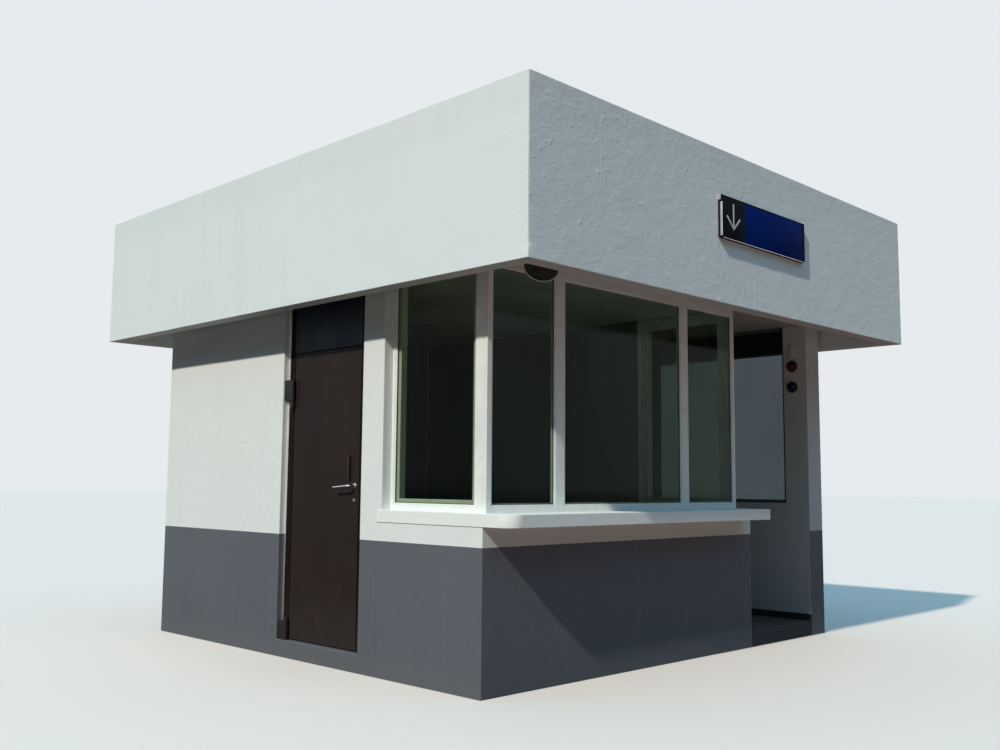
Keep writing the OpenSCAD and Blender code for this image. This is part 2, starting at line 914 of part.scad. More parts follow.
cabin_floor();
passage_floor();
passage_skirting();
front_dado();
left_dado();
door_threshold();
rear_dado();
right_dado();
front_sill_band();
side_sill_bands();
left_pier();
left_wall_rear();
rear_wall();
right_wall();
end_wall_base();
end_wall_front_pier();
end_wall_rear();
roof_slab();
fascia_front();
fascia_left();
fascia_right();
fascia_rear();
counter_slab();
corner_posts();
front_window_frame();
side_window_frames();
end_window_frame();
front_panes();
side_panes();
end_pane();
door_frame();
transom_pane();
hinge_blocks();
door_leaf();
hinge_knuckles();
door_furniture();
door_lever();
sign_box();
sign_arrow_field();
sign_blank_field();
sign_arrow();
dome_lamp();
signal_lamp_red();
signal_lamp_blue();
bulkhead_light();
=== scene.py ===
"""Looks of the security guard booth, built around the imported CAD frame.

Lengths called mm below are measured from the outer corner where the counter wall
and the door wall meet: x runs along the counter, y back along the door side, z up.
"""

import math

import bmesh
import bpy
from mathutils import Matrix, Vector, noise


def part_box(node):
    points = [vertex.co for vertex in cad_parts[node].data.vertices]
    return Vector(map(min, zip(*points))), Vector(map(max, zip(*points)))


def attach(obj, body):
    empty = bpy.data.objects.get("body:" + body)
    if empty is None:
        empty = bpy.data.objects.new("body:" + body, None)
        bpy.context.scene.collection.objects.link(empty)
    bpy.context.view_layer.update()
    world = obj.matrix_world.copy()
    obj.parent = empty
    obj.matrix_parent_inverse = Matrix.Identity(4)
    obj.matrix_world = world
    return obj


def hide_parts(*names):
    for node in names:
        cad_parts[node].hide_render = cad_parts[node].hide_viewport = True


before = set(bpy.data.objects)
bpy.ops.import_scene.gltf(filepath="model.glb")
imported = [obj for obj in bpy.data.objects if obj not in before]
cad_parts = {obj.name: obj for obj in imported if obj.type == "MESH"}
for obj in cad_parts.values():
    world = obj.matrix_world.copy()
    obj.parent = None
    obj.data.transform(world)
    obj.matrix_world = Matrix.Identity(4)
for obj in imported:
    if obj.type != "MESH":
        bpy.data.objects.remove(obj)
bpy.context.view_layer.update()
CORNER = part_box("front_dado")[0]
MM = 0.001
# Without a seed, the vector noise in the fascia's waves would start from the clock
noise.seed_set(7)


def at(x, y, z):
    """A point given in mm from the wall corner, in the frame's metres."""
    return Vector((CORNER.x + x * MM, CORNER.y + y * MM, z * MM))


def mm_box(node):
    """A CAD node's box in mm from the wall corner."""
    lo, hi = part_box(node)
    shift = Vector((CORNER.x, CORNER.y, 0))
    return (lo - shift) / MM, (hi - shift) / MM


LO, HI = {}, {}
for node_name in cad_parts:
    LO[node_name], HI[node_name] = mm_box(node_name)

CABIN_W = HI["front_dado"].x
DEPTH = HI["rear_dado"].y
WALL_T = LO["cabin_floor"].x
FLOOR_H = HI["cabin_floor"].z
DADO_H = HI["front_dado"].z
SILL_H = LO["counter_slab"].z
COUNTER_TOP = HI["counter_slab"].z
CEILING = LO["roof_slab"].z
WINDOW_Y = LO["left_pier"].y
DOOR_Y0 = LO["door_threshold"].y
DOOR_Y1 = HI["door_threshold"].y


# Shader nodes

def soft_step(tree, value, low, high, a=0.0, b=1.0):
    """Maps a value from low..high to a..b, with soft ends."""
    node = tree.nodes.new("ShaderNodeMapRange")
    node.interpolation_type = "SMOOTHSTEP"
    for key, number in (("From Min", low), ("From Max", high), ("To Min", a), ("To Max", b)):
        node.inputs[key].default_value = number
    tree.links.new(value, node.inputs["Value"])
    return node.outputs["Result"]


def calc(tree, kind, a, b=None):
    """A math node on one or two values, each a number or a socket."""
    node = tree.nodes.new("ShaderNodeMath")
    node.operation = kind
    for i, value in enumerate((a, b)):
        if value is None:
            continue
        if isinstance(value, (int, float)):
            node.inputs[i].default_value = value
        else:
            tree.links.new(value, node.inputs[i])
    return node.outputs[0]


def mix_colors(tree, fac, a, b):
    """A mix of two colours, each a tuple or a socket."""
    node = tree.nodes.new("ShaderNodeMix")
    node.data_type = "RGBA"
    tree.links.new(fac, node.inputs[0])
    for i, color in ((6, a), (7, b)):
        if isinstance(color, tuple):
            node.inputs[i].default_value = (*color, 1)
        else:
            tree.links.new(color, node.inputs[i])
    return node.outputs[2]


def node_tree(name):
    mat = bpy.data.materials.new(name)
    mat.use_nodes = True
    tree = mat.node_tree
    tree.nodes.clear()
    out = tree.nodes.new("ShaderNodeOutputMaterial")
    bsdf = tree.nodes.new("ShaderNodeBsdfPrincipled")
    tree.links.new(bsdf.outputs["BSDF"], out.inputs["Surface"])
    return mat, tree, bsdf


class Graph:
    """One material, with short names for the nodes that the materials share."""

    def __init__(self, name, rough=0.5, metal=0.0, ior=1.5, **sockets):
        self.mat, self.tree, self.bsdf = node_tree(name)
        self.bsdf.inputs["Roughness"].default_value = rough
        self.bsdf.inputs["Metallic"].default_value = metal
        self.bsdf.inputs["IOR"].default_value = ior
        for key, value in sockets.items():
            self.bsdf.inputs[key.replace("_", " ")].default_value = value
        coord = self.tree.nodes.new("ShaderNodeTexCoord")
        self.pos = coord.outputs["Object"]

    def link(self, a, b):
        self.tree.links.new(a, b)

    def stretch(self, scale):
        node = self.tree.nodes.new("ShaderNodeMapping")
        node.inputs["Scale"].default_value = scale
        self.link(self.pos, node.inputs["Vector"])
        return node.outputs["Vector"]

    def noise(self, scale, detail=3.0, rough=0.55, distort=0.0, stretch=None):
        node = self.tree.nodes.new("ShaderNodeTexNoise")
        node.inputs["Scale"].default_value = scale
        node.inputs["Detail"].default_value = detail
        node.inputs["Roughness"].default_value = rough
        node.inputs["Distortion"].default_value = distort
        self.link(self.stretch(stretch) if stretch else self.pos, node.inputs["Vector"])
        return node.outputs["Fac"]

    def ramp(self, fac, low, high, a=0.0, b=1.0):
        return soft_step(self.tree, fac, low, high, a, b)

    def math(self, kind, a, b=None):
        return calc(self.tree, kind, a, b)

    def mix(self, fac, a, b):
        return mix_colors(self.tree, fac, a, b)

    def axis(self, which):
        node = self.tree.nodes.new("ShaderNodeSeparateXYZ")
        self.link(self.pos, node.inputs[0])
        return node.outputs[which]

    def color(self, value):
        self.link(value, self.bsdf.inputs["Base Color"])
        return self

    def bump(self, *layers):
        """Each layer is (height, strength, distance in m), from coarse to fine."""
        last = None
        for height, strength, distance in layers:
            node = self.tree.nodes.new("ShaderNodeBump")
            node.inputs["Strength"].default_value = strength
            node.inputs["Distance"].default_value = distance
            self.link(height, node.inputs["Height"])
            if last is not None:
                self.link(last, node.inputs["Normal"])
            last = node.outputs["Normal"]
        self.link(last, self.bsdf.inputs["Normal"])
        return self

    def roughen(self, fac, low, high):
        self.link(self.ramp(fac, 0.3, 0.7, low, high), self.bsdf.inputs["Roughness"])
        return self


def shade(color, k):
    return tuple(c * k for c in color)


# Materials

WHITE = (0.795, 0.85, 0.845)
GREY = (0.112, 0.1235, 0.147)
# Painted shade: a darker, warmer colour for the fascia's white underside, which lies in shade
UNDERSIDE_SHADE = (0.60, 0.585, 0.57)
CRACK_Y = 1005
# Upright ridges on the fascia's front: x, foot and top in m, and strength
FASCIA_MARKS = ((at(336, 0, 0).x, 3.05, 3.48, 0.35), (at(368, 0, 0).x, 3.02, 3.50, 0.30),
                (at(1895, 0, 0).x, 2.62, 2.76, 0.8), (at(2060, 0, 0).x, 2.50, 2.74, 0.5))


def upright_ridge(g, x, foot, top):
    """A faint ridge on the front of the fascia, a little wavy and with soft ends."""
    off = g.math("ADD", g.axis(0), g.math("MULTIPLY", g.noise(3.5, 4, 0.6), 0.02))
    off = g.math("ABSOLUTE", g.math("SUBTRACT", off, x + 0.01))
    front = g.ramp(g.axis(1), CORNER.y - 0.20, CORNER.y - 0.15, 1, 0)
    ridge = g.math("MULTIPLY", g.ramp(off, 0.001, 0.011, 1, 0), front)
    ridge = g.math("MULTIPLY", ridge, g.ramp(g.axis(2), foot - 0.05, foot + 0.05, 0, 1))
    return g.math("MULTIPLY", ridge, g.ramp(g.axis(2), top - 0.05, top + 0.05, 1, 0))


def plaster(name, base, trowel, grime, splash=0.0, top_grime=None, marks=(), under=None,
            calm=None):
    """Painted render: broad waves, trowel strokes, small lumps, stipple, faint runs and dust.

    splash is the dust's strength near the ground, and top_grime the level where grime starts.
    marks are upright ridges, as (x, foot, top, strength), under is the level of an underside
    that takes a darker, warmer colour as painted shade, and calm the x of a side that was
    rubbed smoother, all in m.
    """
    g = Graph(name, rough=0.85, ior=1.4)
    broad = g.noise(1.3, 4, 0.6)
    waves = g.noise(5.5, 3, 0.55, 0.4, (1, 1, 1.4))
    strokes = g.noise(15, 2.5, 0.5, 0.5, (1, 1, 1.5))
    lumps = g.ramp(g.noise(23, 2, 0.5, 0.5, (1, 1, 0.8)), 0.60, 0.76)
    stipple = g.noise(80, 2, 0.5)
    grain = g.noise(300, 2, 0.6)
    runs = g.noise(1.0, 4, 0.65, 0.2, (9, 9, 0.5))
    dirty = (base[0] * 0.74, base[1] * 0.70, base[2] * 0.63)
    col = g.mix(g.ramp(broad, 0.35, 0.72, 0, 0.4), base, shade(base, 0.94))
    col = g.mix(g.ramp(runs, 0.52, 0.8, 0, grime), col, dirty)
    col = g.mix(g.ramp(stipple, 0.5, 0.75, 0, 0.06), col, shade(base, 0.88))
    z = g.axis(2)
    if splash:
        wet = g.math("ADD", z, g.math("MULTIPLY", g.noise(5, 4, 0.7), -0.28))
        col = g.mix(g.ramp(wet, -0.14, 0.16, splash, 0), col, (0.30, 0.26, 0.21))
    if top_grime:
        ragged = g.noise(3.2, 5, 0.7, 0.0, (1, 1, 0.25))
        edge = g.math("ADD", z, g.math("MULTIPLY", ragged, 0.16))
        col = g.mix(g.ramp(edge, top_grime - 0.02, top_grime + 0.1, 0, 0.10), col, dirty)
    # Painted shade: below this level the underside takes that darker, warmer colour
    if under:
        col = g.mix(g.ramp(z, under + 0.0006, under + 0.0026, 1, 0), col, UNDERSIDE_SHADE)
    layers = [(waves, 0.5 * trowel, 0.007), (strokes, 0.5 * trowel, 0.0040),
              (lumps, 0.55 * trowel, 0.0022), (stipple, 0.5 * trowel, 0.0012),
              (grain, 0.2, 0.0004)]
    if calm:
        rubbed = g.ramp(g.axis(0), calm + 0.004, calm + 0.012, 0.3, 1)
        layers = [(g.math("MULTIPLY", height, rubbed), *rest) for height, *rest in layers]
    for x, foot, top, strength in marks:
        layers.append((upright_ridge(g, x, foot, top), strength, 0.0024))
    return g.color(col).bump(*layers).mat


def dado_paint(name, base):
    """Grey masonry paint: patchy, dusty towards the ground."""
    g = Graph(name, rough=0.7, ior=1.45)
    patch = g.noise(1.1, 4, 0.6)
    roll = g.noise(60, 3, 0.6, 0.4)
    waves = g.noise(8, 3, 0.5, 0.5)
    grain = g.noise(320, 2, 0.6)
    runs = g.noise(1.0, 4, 0.7, 0.3, (10, 10, 0.7))
    col = g.mix(g.ramp(patch, 0.35, 0.7, 0, 0.5), base, shade(base, 0.88))
    col = g.mix(g.ramp(runs, 0.5, 0.78, 0, 0.22), col, shade(base, 1.35))
    wet = g.math("ADD", g.axis(2), g.math("MULTIPLY", g.noise(4, 4, 0.7), -0.20))
    col = g.mix(g.ramp(wet, -0.12, 0.10, 0.30, 0), col, (0.150, 0.148, 0.142))
    # A hairline crack on the door wall, below the window's near edge
    crack = g.math("ADD", g.axis(1), g.math("MULTIPLY", g.noise(5, 4, 0.7), 0.03))
    crack = g.math("ABSOLUTE", g.math("SUBTRACT", crack, at(0, CRACK_Y, 0).y + 0.015))
    door_wall = g.ramp(g.axis(0), CORNER.x + 0.05, CORNER.x + 0.1, 1, 0)
    crack = g.math("MULTIPLY", g.ramp(crack, 0.0006, 0.0030, 1, 0), door_wall)
    crack = g.math("MULTIPLY", crack, g.ramp(g.axis(2), 0.62, 0.72, 1, 0))
    col = g.mix(g.math("MULTIPLY", crack, 0.5), col, shade(base, 0.4))
    g.color(col)
    return g.bump((waves, 0.4, 0.008), (roll, 0.3, 0.0016), (grain, 0.25, 0.0005)).mat


def concrete(name, base, dust):
    """Worn concrete: dusty patches, darker specks and pits."""
    g = Graph(name, rough=0.78, ior=1.45, Specular_IOR_Level=0.25)
    patch = g.noise(2.2, 5, 0.65)
    fine = g.noise(90, 4, 0.7)
    pits = g.noise(300, 2, 0.7)
    col = g.mix(g.ramp(patch, 0.35, 0.7, 0, 0.5), base, dust)
    col = g.mix(g.ramp(fine, 0.55, 0.8, 0, 0.4), col, shade(base, 0.7))
    g.color(col)
    return g.bump((patch, 0.2, 0.004), (fine, 0.3, 0.0012), (pits, 0.2, 0.0004)).mat


def coated(name, base, rough, bump=0.12, dust=None, spec=0.5):
    """Painted or moulded part: slight tone changes, fine orange peel, worn gloss."""
    g = Graph(name, rough=rough, Specular_IOR_Level=spec)
    tone = g.noise(3.5, 4, 0.6)
    peel = g.noise(240, 2, 0.5)
    smear = g.noise(14, 4, 0.6, 0.4)
    col = g.mix(g.ramp(tone, 0.35, 0.7, 0, 0.6), base, shade(base, 0.86))
    if dust:
        col = g.mix(g.ramp(smear, 0.5, 0.8, 0, 0.3), col, dust)
    g.roughen(smear, max(rough - 0.06, 0.02), min(rough + 0.1, 1))
    return g.color(col).bump((peel, bump, 0.0004)).mat


def brushed(name, base, rough):
    """Bare metal with fine brush lines."""
    g = Graph(name, rough=rough, metal=1.0)
    lines = g.noise(1.0, 3, 0.6, 0.0, (60, 60, 900))
    tone = g.noise(18, 3)
    col = g.mix(g.ramp(tone, 0.35, 0.7, 0, 0.5), base, shade(base, 0.82))
    g.roughen(lines, rough - 0.06, rough + 0.1)
    return g.color(col).bump((lines, 0.12, 0.0002)).mat


def tinted_glass(name, film, cover, tint, spec):
    """Tinted pane: light goes through in the tint, past a thin dull film with a gloss on it."""
    rough = 0.03
    g = Graph(name, rough=rough, ior=1.5, Specular_IOR_Level=spec)
    streaks = g.noise(2.4, 4, 0.6, 0.3, (1, 1, 0.4))
    g.color(g.mix(g.ramp(streaks, 0.45, 0.8, 0, 0.35), film, tuple(c + 0.012 for c in film)))
    clear = g.tree.nodes.new("ShaderNodeBsdfTransparent")
    clear.inputs["Color"].default_value = (*tint, 1)
    both = g.tree.nodes.new("ShaderNodeMixShader")
    g.link(g.ramp(streaks, 0.3, 0.85, cover, cover + 0.06), both.inputs[0])
    g.link(clear.outputs[0], both.inputs[1])
    g.link(g.bsdf.outputs[0], both.inputs[2])
    g.link(both.outputs[0], g.tree.nodes["Material Output"].inputs["Surface"])
    return g.roughen(streaks, rough, rough + 0.05).mat


def door_paint(name, base, spec):
    """Dark gloss paint with faint drips, dust low down and a few scratches."""
    # Painted reflection: the gloss is tinted blue for the sky that it reflects
    g = Graph(name, rough=0.34, ior=1.5, Specular_IOR_Level=spec,
              Specular_Tint=(0.50, 0.80, 1.0, 1))
    tone = g.noise(1.6, 4, 0.6, 0.2, (1.6, 1.6, 0.5))
    smear = g.noise(7, 4, 0.65, 0.5, (1.4, 1.4, 0.5))
    peel = g.noise(150, 2, 0.5)
    dents = g.noise(6, 2, 0.5)
    scratch = g.noise(1.0, 2, 0.5, 0.0, (240, 240, 3.0))
    col = g.mix(g.ramp(tone, 0.35, 0.7, 0, 0.6), base, shade(base, 0.82))
    col = g.mix(g.ramp(smear, 0.5, 0.8, 0, 0.14), col, (0.060, 0.050, 0.047))
    low = g.math("ADD", g.axis(2), g.math("MULTIPLY", g.noise(6, 4, 0.7), -0.5))
    col = g.mix(g.ramp(low, -0.05, 0.32, 0.10, 0), col, (0.11, 0.095, 0.085))
    near_floor = g.ramp(g.axis(2), 0.3, 0.75, 1, 0)
    lines = g.math("MULTIPLY", g.ramp(scratch, 0.74, 0.78, 0, 0.8), near_floor)
    col = g.mix(lines, col, (0.30, 0.27, 0.25))
    g.roughen(smear, 0.28, 0.48)
    return g.color(col).bump((dents, 0.12, 0.002), (peel, 0.12, 0.0004)).mat


def slab_shaded_soffit_and_deck():
    """The roof slab: white under the room, a dark grey painted shade on the white soffit outside
    it, and weathered concrete on its deck.
    """
    # The outside soffit is white paint; its dark grey is painted shade
    base, room_base = (0.39, 0.385, 0.39), (0.84, 0.84, 0.83)
    mid_slab = 2.75
    g = Graph("slab_shaded_soffit_and_deck", rough=0.85, ior=1.4)
    broad = g.noise(1.3, 4, 0.6)
    boards = g.noise(1.0, 3, 0.6, 0.0, (0.6, 10, 1))
    grain = g.noise(200, 2, 0.6)
    patch = g.noise(2.2, 5, 0.65)
    left, right = at(WALL_T, 0, 0).x, at(CABIN_W - WALL_T, 0, 0).x
    in_room = g.math("MULTIPLY", g.ramp(g.axis(0), left - 20 * MM, left, 0, 1),
                     g.ramp(g.axis(0), right, right + 20 * MM, 1, 0))
    behind_glass = g.ramp(g.axis(1), at(0, 60, 0).y, at(0, 100, 0).y, 0, 1)
    in_room = g.math("MULTIPLY", in_room, behind_glass)
    under = g.mix(in_room, base, room_base)
    under = g.mix(g.ramp(broad, 0.35, 0.7, 0, 0.25), under, shade(base, 0.86))
    under = g.mix(g.ramp(boards, 0.55, 0.7, 0, 0.25), under, shade(base, 0.78))
    deck = g.mix(g.ramp(patch, 0.35, 0.7, 0, 0.6), (0.40, 0.39, 0.37), (0.29, 0.275, 0.25))
    above = g.math("GREATER_THAN", g.axis(2), mid_slab)
    g.color(g.mix(above, under, deck))
    return g.bump((broad, 0.2, 0.006), (grain, 0.3, 0.0008)).mat


M = {
    "fascia": plaster("fascia_plaster", (0.765, 0.845, 0.86), 1.0, 0.10, top_grime=3.40,
                      marks=FASCIA_MARKS, under=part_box("fascia_front")[0].z,
                      calm=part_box("fascia_left")[0].x),
    "wall": plaster("wall_plaster", WHITE, 0.5, 0.10),
    # Painted shade: the room's inner faces are white render, given a dark grey for the shade
    # inside
    "inside": plaster("inside_plaster_painted_shade", (0.20, 0.225, 0.25), 0.3, 0.04),
    # Painted shade: the end wall is the same white render, given a greyer colour for its shade
    "end_wall": plaster("end_wall_plaster_painted_shade", (0.61, 0.635, 0.645), 0.8, 0.12, 0.20),
    "dado": dado_paint("dado_paint", GREY),
    "counter": plaster("counter_plaster", (0.86, 0.91, 0.89), 0.5, 0.12),
    "floor": concrete("cabin_floor_concrete", (0.34, 0.335, 0.33), (0.27, 0.265, 0.26)),
    "passage": concrete("passage_floor_concrete", (0.040, 0.045, 0.053),
                        (0.066, 0.066, 0.066)),
    "skirting": coated("skirting_tile", (0.030, 0.036, 0.042), 0.4, spec=0.25),
    "frame": coated("frame_white", (0.86, 0.90, 0.885), 0.38, 0.08, (0.66, 0.65, 0.61)),
    "frame_grey": coated("frame_grey", (0.10, 0.10, 0.105), 0.45, spec=0.25),
    "gasket": coated("gasket_rubber", (0.018, 0.022, 0.02), 0.7),
    # One glass in two copies: the side panes' near-black film and weaker gloss are painted shade,
    # set against the sun that falls on them
    "glass": tinted_glass("glass_green", (0.006, 0.014, 0.012), 0.12, (0.80, 0.88, 0.82), 0.5),
    "side_glass_painted_shade": tinted_glass("glass_side_painted_shade", (0.003, 0.005, 0.006), 0.12,
                               (0.88, 0.93, 0.84), 0.2),
    "end_glass": tinted_glass("glass_grey", (0.010, 0.014, 0.016), 0.30,
                              (0.40, 0.435, 0.455), 0.15),
    "hinge": coated("hinge_paint", (0.020, 0.019, 0.021), 0.5, 0.3, (0.07, 0.06, 0.055),
                    spec=0.25),
    "dull_steel": brushed("dull_steel", (0.34, 0.33, 0.33), 0.42),
    "strip": brushed("strip_metal", (0.98, 0.97, 0.94), 0.45),
    "steel": brushed("satin_steel", (0.72, 0.72, 0.71), 0.28),
    "sign_metal": brushed("sign_metal", (0.80, 0.81, 0.82), 0.32),
    "sign_tray": coated("sign_tray", (0.014, 0.015, 0.018), 0.45, 0.05, spec=0.03),
    "sign_black": coated("sign_black", (0.012, 0.016, 0.022), 0.40, 0.03, spec=0.004),
    "sign_blue": coated("sign_blue", (0.003, 0.018, 0.140), 0.40, 0.03, spec=0.004),
    "sign_grey": coated("sign_grey", (0.50, 0.53, 0.56), 0.4, 0.02),
    "dome": coated("dome_smoked", (0.030, 0.024, 0.020), 0.3, 0.02, spec=0.2),
    "dome_ring": coated("dome_ring", (0.60, 0.55, 0.50), 0.4, 0.06),
    "red": coated("lens_red", (0.075, 0.010, 0.011), 0.2, 0.02, spec=0.15),
    "blue": coated("lens_blue", (0.008, 0.009, 0.030), 0.2, 0.02, spec=0.15),
    "lamp_ring": coated("lamp_ring", (0.06, 0.055, 0.055), 0.5, 0.1),
    "beige": coated("bulkhead_beige", (0.50, 0.46, 0.42), 0.5, 0.1, (0.4, 0.34, 0.26)),
    "door": door_paint("door_paint", (0.028, 0.0200, 0.0190), 0.05),
    # Painted shade and painted reflection: the panel over the door has the leaf's brown paint,
    # given a dark navy for its shade and the sky in its gloss
    "door_panel": door_paint("door_panel_painted_shade", (0.040, 0.0500, 0.0700), 0.06),
    # Painted light: the pull has the leaf's paint, made lighter for its lit side
    "door_pull": door_paint("door_pull_painted_light", (0.048, 0.030, 0.028), 0.05),
    # Painted shade: the frame has the leaf's paint, made darker for the shadow in the joints round
    # the leaf
    "door_frame": door_paint("door_frame_painted_shade", (0.015, 0.0105, 0.0100), 0.03),
    "slab": slab_shaded_soffit_and_deck(),
}


# Mesh tools

def add_piece(name, bm, mats, body, replaces=(), sharp=32, crisp=False):
    """Turns a bmesh into a named piece that rides on a body.

    A crisp piece shades its square sides flat, so that only its rounded arrises turn.
    """
    bmesh.ops.recalc_face_normals(bm, faces=bm.faces)
    mesh = bpy.data.meshes.new(name)
    bm.to_mesh(mesh)
    bm.free()
    for key in mats if isinstance(mats, (list, tuple)) else [mats]:
        mesh.materials.append(M[key])
    mesh.shade_smooth()
    mesh.set_sharp_from_angle(angle=math.radians(sharp))
    if crisp:
        for face in mesh.polygons:
            face.use_smooth = max(abs(c) for c in face.normal) < 0.9999
    obj = bpy.data.objects.new(name, mesh)
    bpy.context.scene.collection.objects.link(obj)
    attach(obj, body)
    if replaces:
        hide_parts(*replaces)


def repaint(**keys):
    """Gives the CAD nodes that stay visible their own materials."""
    for node_name, key in keys.items():
        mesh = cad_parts[node_name].data
        mesh.materials.clear()
        mesh.materials.append(M[key])


def put_box(bm, lo, hi):
    """Adds a box given by two corners in mm."""
    a, b = at(*lo), at(*hi)
    v = [bm.verts.new((x, y, z)) for x in (a.x, b.x) for y in (a.y, b.y) for z in (a.z, b.z)]
    for f in ((0, 1, 3, 2), (4, 6, 7, 5), (0, 4, 5, 1), (2, 3, 7, 6), (0, 2, 6, 4), (1, 5, 7, 3)):
        bm.faces.new([v[i] for i in f])


def round_edges(bm, mm, segments=2, angle=30, keep=None):
    """Rounds the arrises that are sharper than an angle."""
    bmesh.ops.recalc_face_normals(bm, faces=bm.faces)
    bm.normal_update()
    edges = [
        e for e in bm.edges
        if len(e.link_faces) == 2
        and e.calc_face_angle(0) > math.radians(angle)
        and (keep is None or keep(e))
    ]
    bmesh.ops.bevel(bm, geom=edges, offset=mm * MM, offset_type="OFFSET", segments=segments,
                    profile=0.5, affect="EDGES", clamp_overlap=True)
    return bm


def long_edges(e):
    """True for the edges over 20 mm, which leaves out those of round parts."""
    return e.calc_length() > 0.02


def blocks(solid, cut, paint):
    """The union of mm boxes less the cut boxes, as one closed mesh of plain faces.

    paint(middle, way) gives a face's material slot from its middle and outward way.
    """
    every = solid + cut
    axes = [sorted({round(b[s][i], 3) for b in every for s in (0, 1)}) for i in range(3)]

    def inside(p, boxes):
        return any(all(b[0][i] < p[i] < b[1][i] for i in range(3)) for b in boxes)

    full = {}
    n = [len(a) - 1 for a in axes]
    for i in range(n[0]):
        for j in range(n[1]):
            for k in range(n[2]):
                p = [(axes[c][q] + axes[c][q + 1]) / 2 for c, q in enumerate((i, j, k))]
                full[i, j, k] = inside(p, solid) and not inside(p, cut)
    bm = bmesh.new()
    verts = {}

    def vert(i, j, k):
        if (i, j, k) not in verts:
            verts[i, j, k] = bm.verts.new(at(axes[0][i], axes[1][j], axes[2][k]))
        return verts[i, j, k]

    for (i, j, k), filled in full.items():
        if not filled:
            continue
        for c in range(3):
            for side in (0, 1):
                beyond = [i, j, k]
                beyond[c] += 1 if side else -1
                if full.get(tuple(beyond), False):
                    continue
                u, w = [q for q in range(3) if q != c]
                ring = []
                for du, dw in ((0, 0), (1, 0), (1, 1), (0, 1)):
                    q = [i, j, k]
                    q[c] += side
                    q[u] += du
                    q[w] += dw
                    ring.append(vert(*q))
                face = bm.faces.new(ring)
                way = [0, 0, 0]
                way[c] = 1 if side else -1
                middle = (face.calc_center_median() - at(0, 0, 0)) / MM
                face.material_index = paint(middle, tuple(way))
    bmesh.ops.recalc_face_normals(bm, faces=bm.faces)
    bmesh.ops.dissolve_limit(bm, angle_limit=math.radians(1), verts=bm.verts, edges=bm.edges,
                             use_dissolve_boundaries=False, delimit={"MATERIAL"})
    return bm


def from_cad(*nodes):
    """A copy of CAD meshes with their flat faces merged."""
    bm = bmesh.new()
    for n in nodes:
        bm.from_mesh(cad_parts[n].data)
    bmesh.ops.remove_doubles(bm, verts=bm.verts, dist=1e-5)
    bmesh.ops.dissolve_limit(bm, angle_limit=math.radians(0.5), verts=bm.verts, edges=bm.edges,
                             use_dissolve_boundaries=False)
    return bm


def lathe(bm, origin, axis, profile, n=48):
    """Turns (radius, height) pairs in mm round an axis; a radius of 0 closes an end."""
    axis = Vector(axis).normalized()
    side = axis.orthogonal().normalized()
    other = axis.cross(side)
    rings = []
    for r, h in profile:
        c = origin + axis * (h * MM)
        if r == 0:
            rings.append([bm.verts.new(c)])
            continue
        rings.append([
            bm.verts.new(c + (side * math.cos(t) + other * math.sin(t)) * (r * MM))
            for t in (2 * math.pi * i / n for i in range(n))
        ])
    for a, b in zip(rings, rings[1:]):
        for i in range(n):
            j = (i + 1) % n
            quad = [a[i % len(a)], a[j % len(a)], b[j % len(b)], b[i % len(b)]]
            face = []
            for v in quad:
                if v not in face:
                    face.append(v)
            if len(face) > 2:
                bm.faces.new(face)


def tube(bm, path, radii, up, n=20):
    """A closed tube through points in m; radii are (along up, across) pairs in mm."""
    rings = []
    for i, p in enumerate(path):
        a, b = path[max(i - 1, 0)], path[min(i + 1, len(path) - 1)]
        t = (b - a).normalized()
        u = (up - t * up.dot(t)).normalized()
        w = t.cross(u)
        ru, rw = radii[i]
        rings.append([
            bm.verts.new(p + u * (math.cos(q) * ru * MM) + w * (math.sin(q) * rw * MM))
            for q in (2 * math.pi * k / n for k in range(n))
        ])
    for a, b in zip(rings, rings[1:]):
        for i in range(n):
            bm.faces.new([a[i], a[(i + 1) % n], b[(i + 1) % n], b[i]])
    bm.faces.new(rings[0][::-1])
    bm.faces.new(rings[-1])


# Masonry

FAR = 9000


def off_levels(*levels):
    """A test that passes the edges that don't lie flat in one of these levels (mm)."""
    def keep(e):
        za, zb = (v.co.z / MM for v in e.verts)
        return not any(abs(za - z) < 0.5 and abs(zb - z) < 0.5 for z in levels)
    return keep


room = ((WALL_T, WALL_T, -FAR), (CABIN_W - WALL_T, DEPTH - WALL_T, FAR))
doorway = ((-FAR, DOOR_Y0, FLOOR_H), (WALL_T + 1, DOOR_Y1, FAR))


def room_side(middle, way):
    """1 for the faces that look into the room."""
    across = WALL_T - 1 < middle.x < CABIN_W - WALL_T + 1
    along = WALL_T - 1 < middle.y < DEPTH - WALL_T + 1
    return int(across and along and way[2] == 0)


dado = blocks([((0, 0, 0), (CABIN_W, DEPTH, DADO_H))], [room, doorway], room_side)
round_edges(dado, 5, 3, keep=off_levels(0, DADO_H))
add_piece("cabin_dado", dado, ("dado", "inside"), "booth",
          ("front_dado", "left_dado", "rear_dado", "right_dado", "door_threshold"), crisp=True)

above_sill = ((-FAR, -FAR, SILL_H), (FAR, WINDOW_Y, FAR))
upper = blocks([((0, 0, DADO_H), (CABIN_W, DEPTH, CEILING))], [room, doorway, above_sill],
               room_side)
round_edges(upper, 5, 3, keep=off_levels(DADO_H, CEILING, SILL_H))
add_piece("cabin_walls", upper, ("wall", "inside"), "booth",
          ("front_sill_band", "side_sill_bands", "left_pier", "left_wall_rear", "rear_wall",
           "right_wall"), crisp=True)

END_X0, END_X1 = LO["end_wall_base"].x, HI["end_wall_base"].x
END_SILL = HI["end_wall_base"].z
END_Y0, END_Y1 = HI["end_wall_front_pier"].y, LO["end_wall_rear"].y
end_hole = ((-FAR, END_Y0, END_SILL), (FAR, END_Y1, FAR))


def outer_dado(middle, way):
    """1 for the dado on the end wall's outer side and its two ends."""
    return int(middle.z < DADO_H and way != (-1, 0, 0))


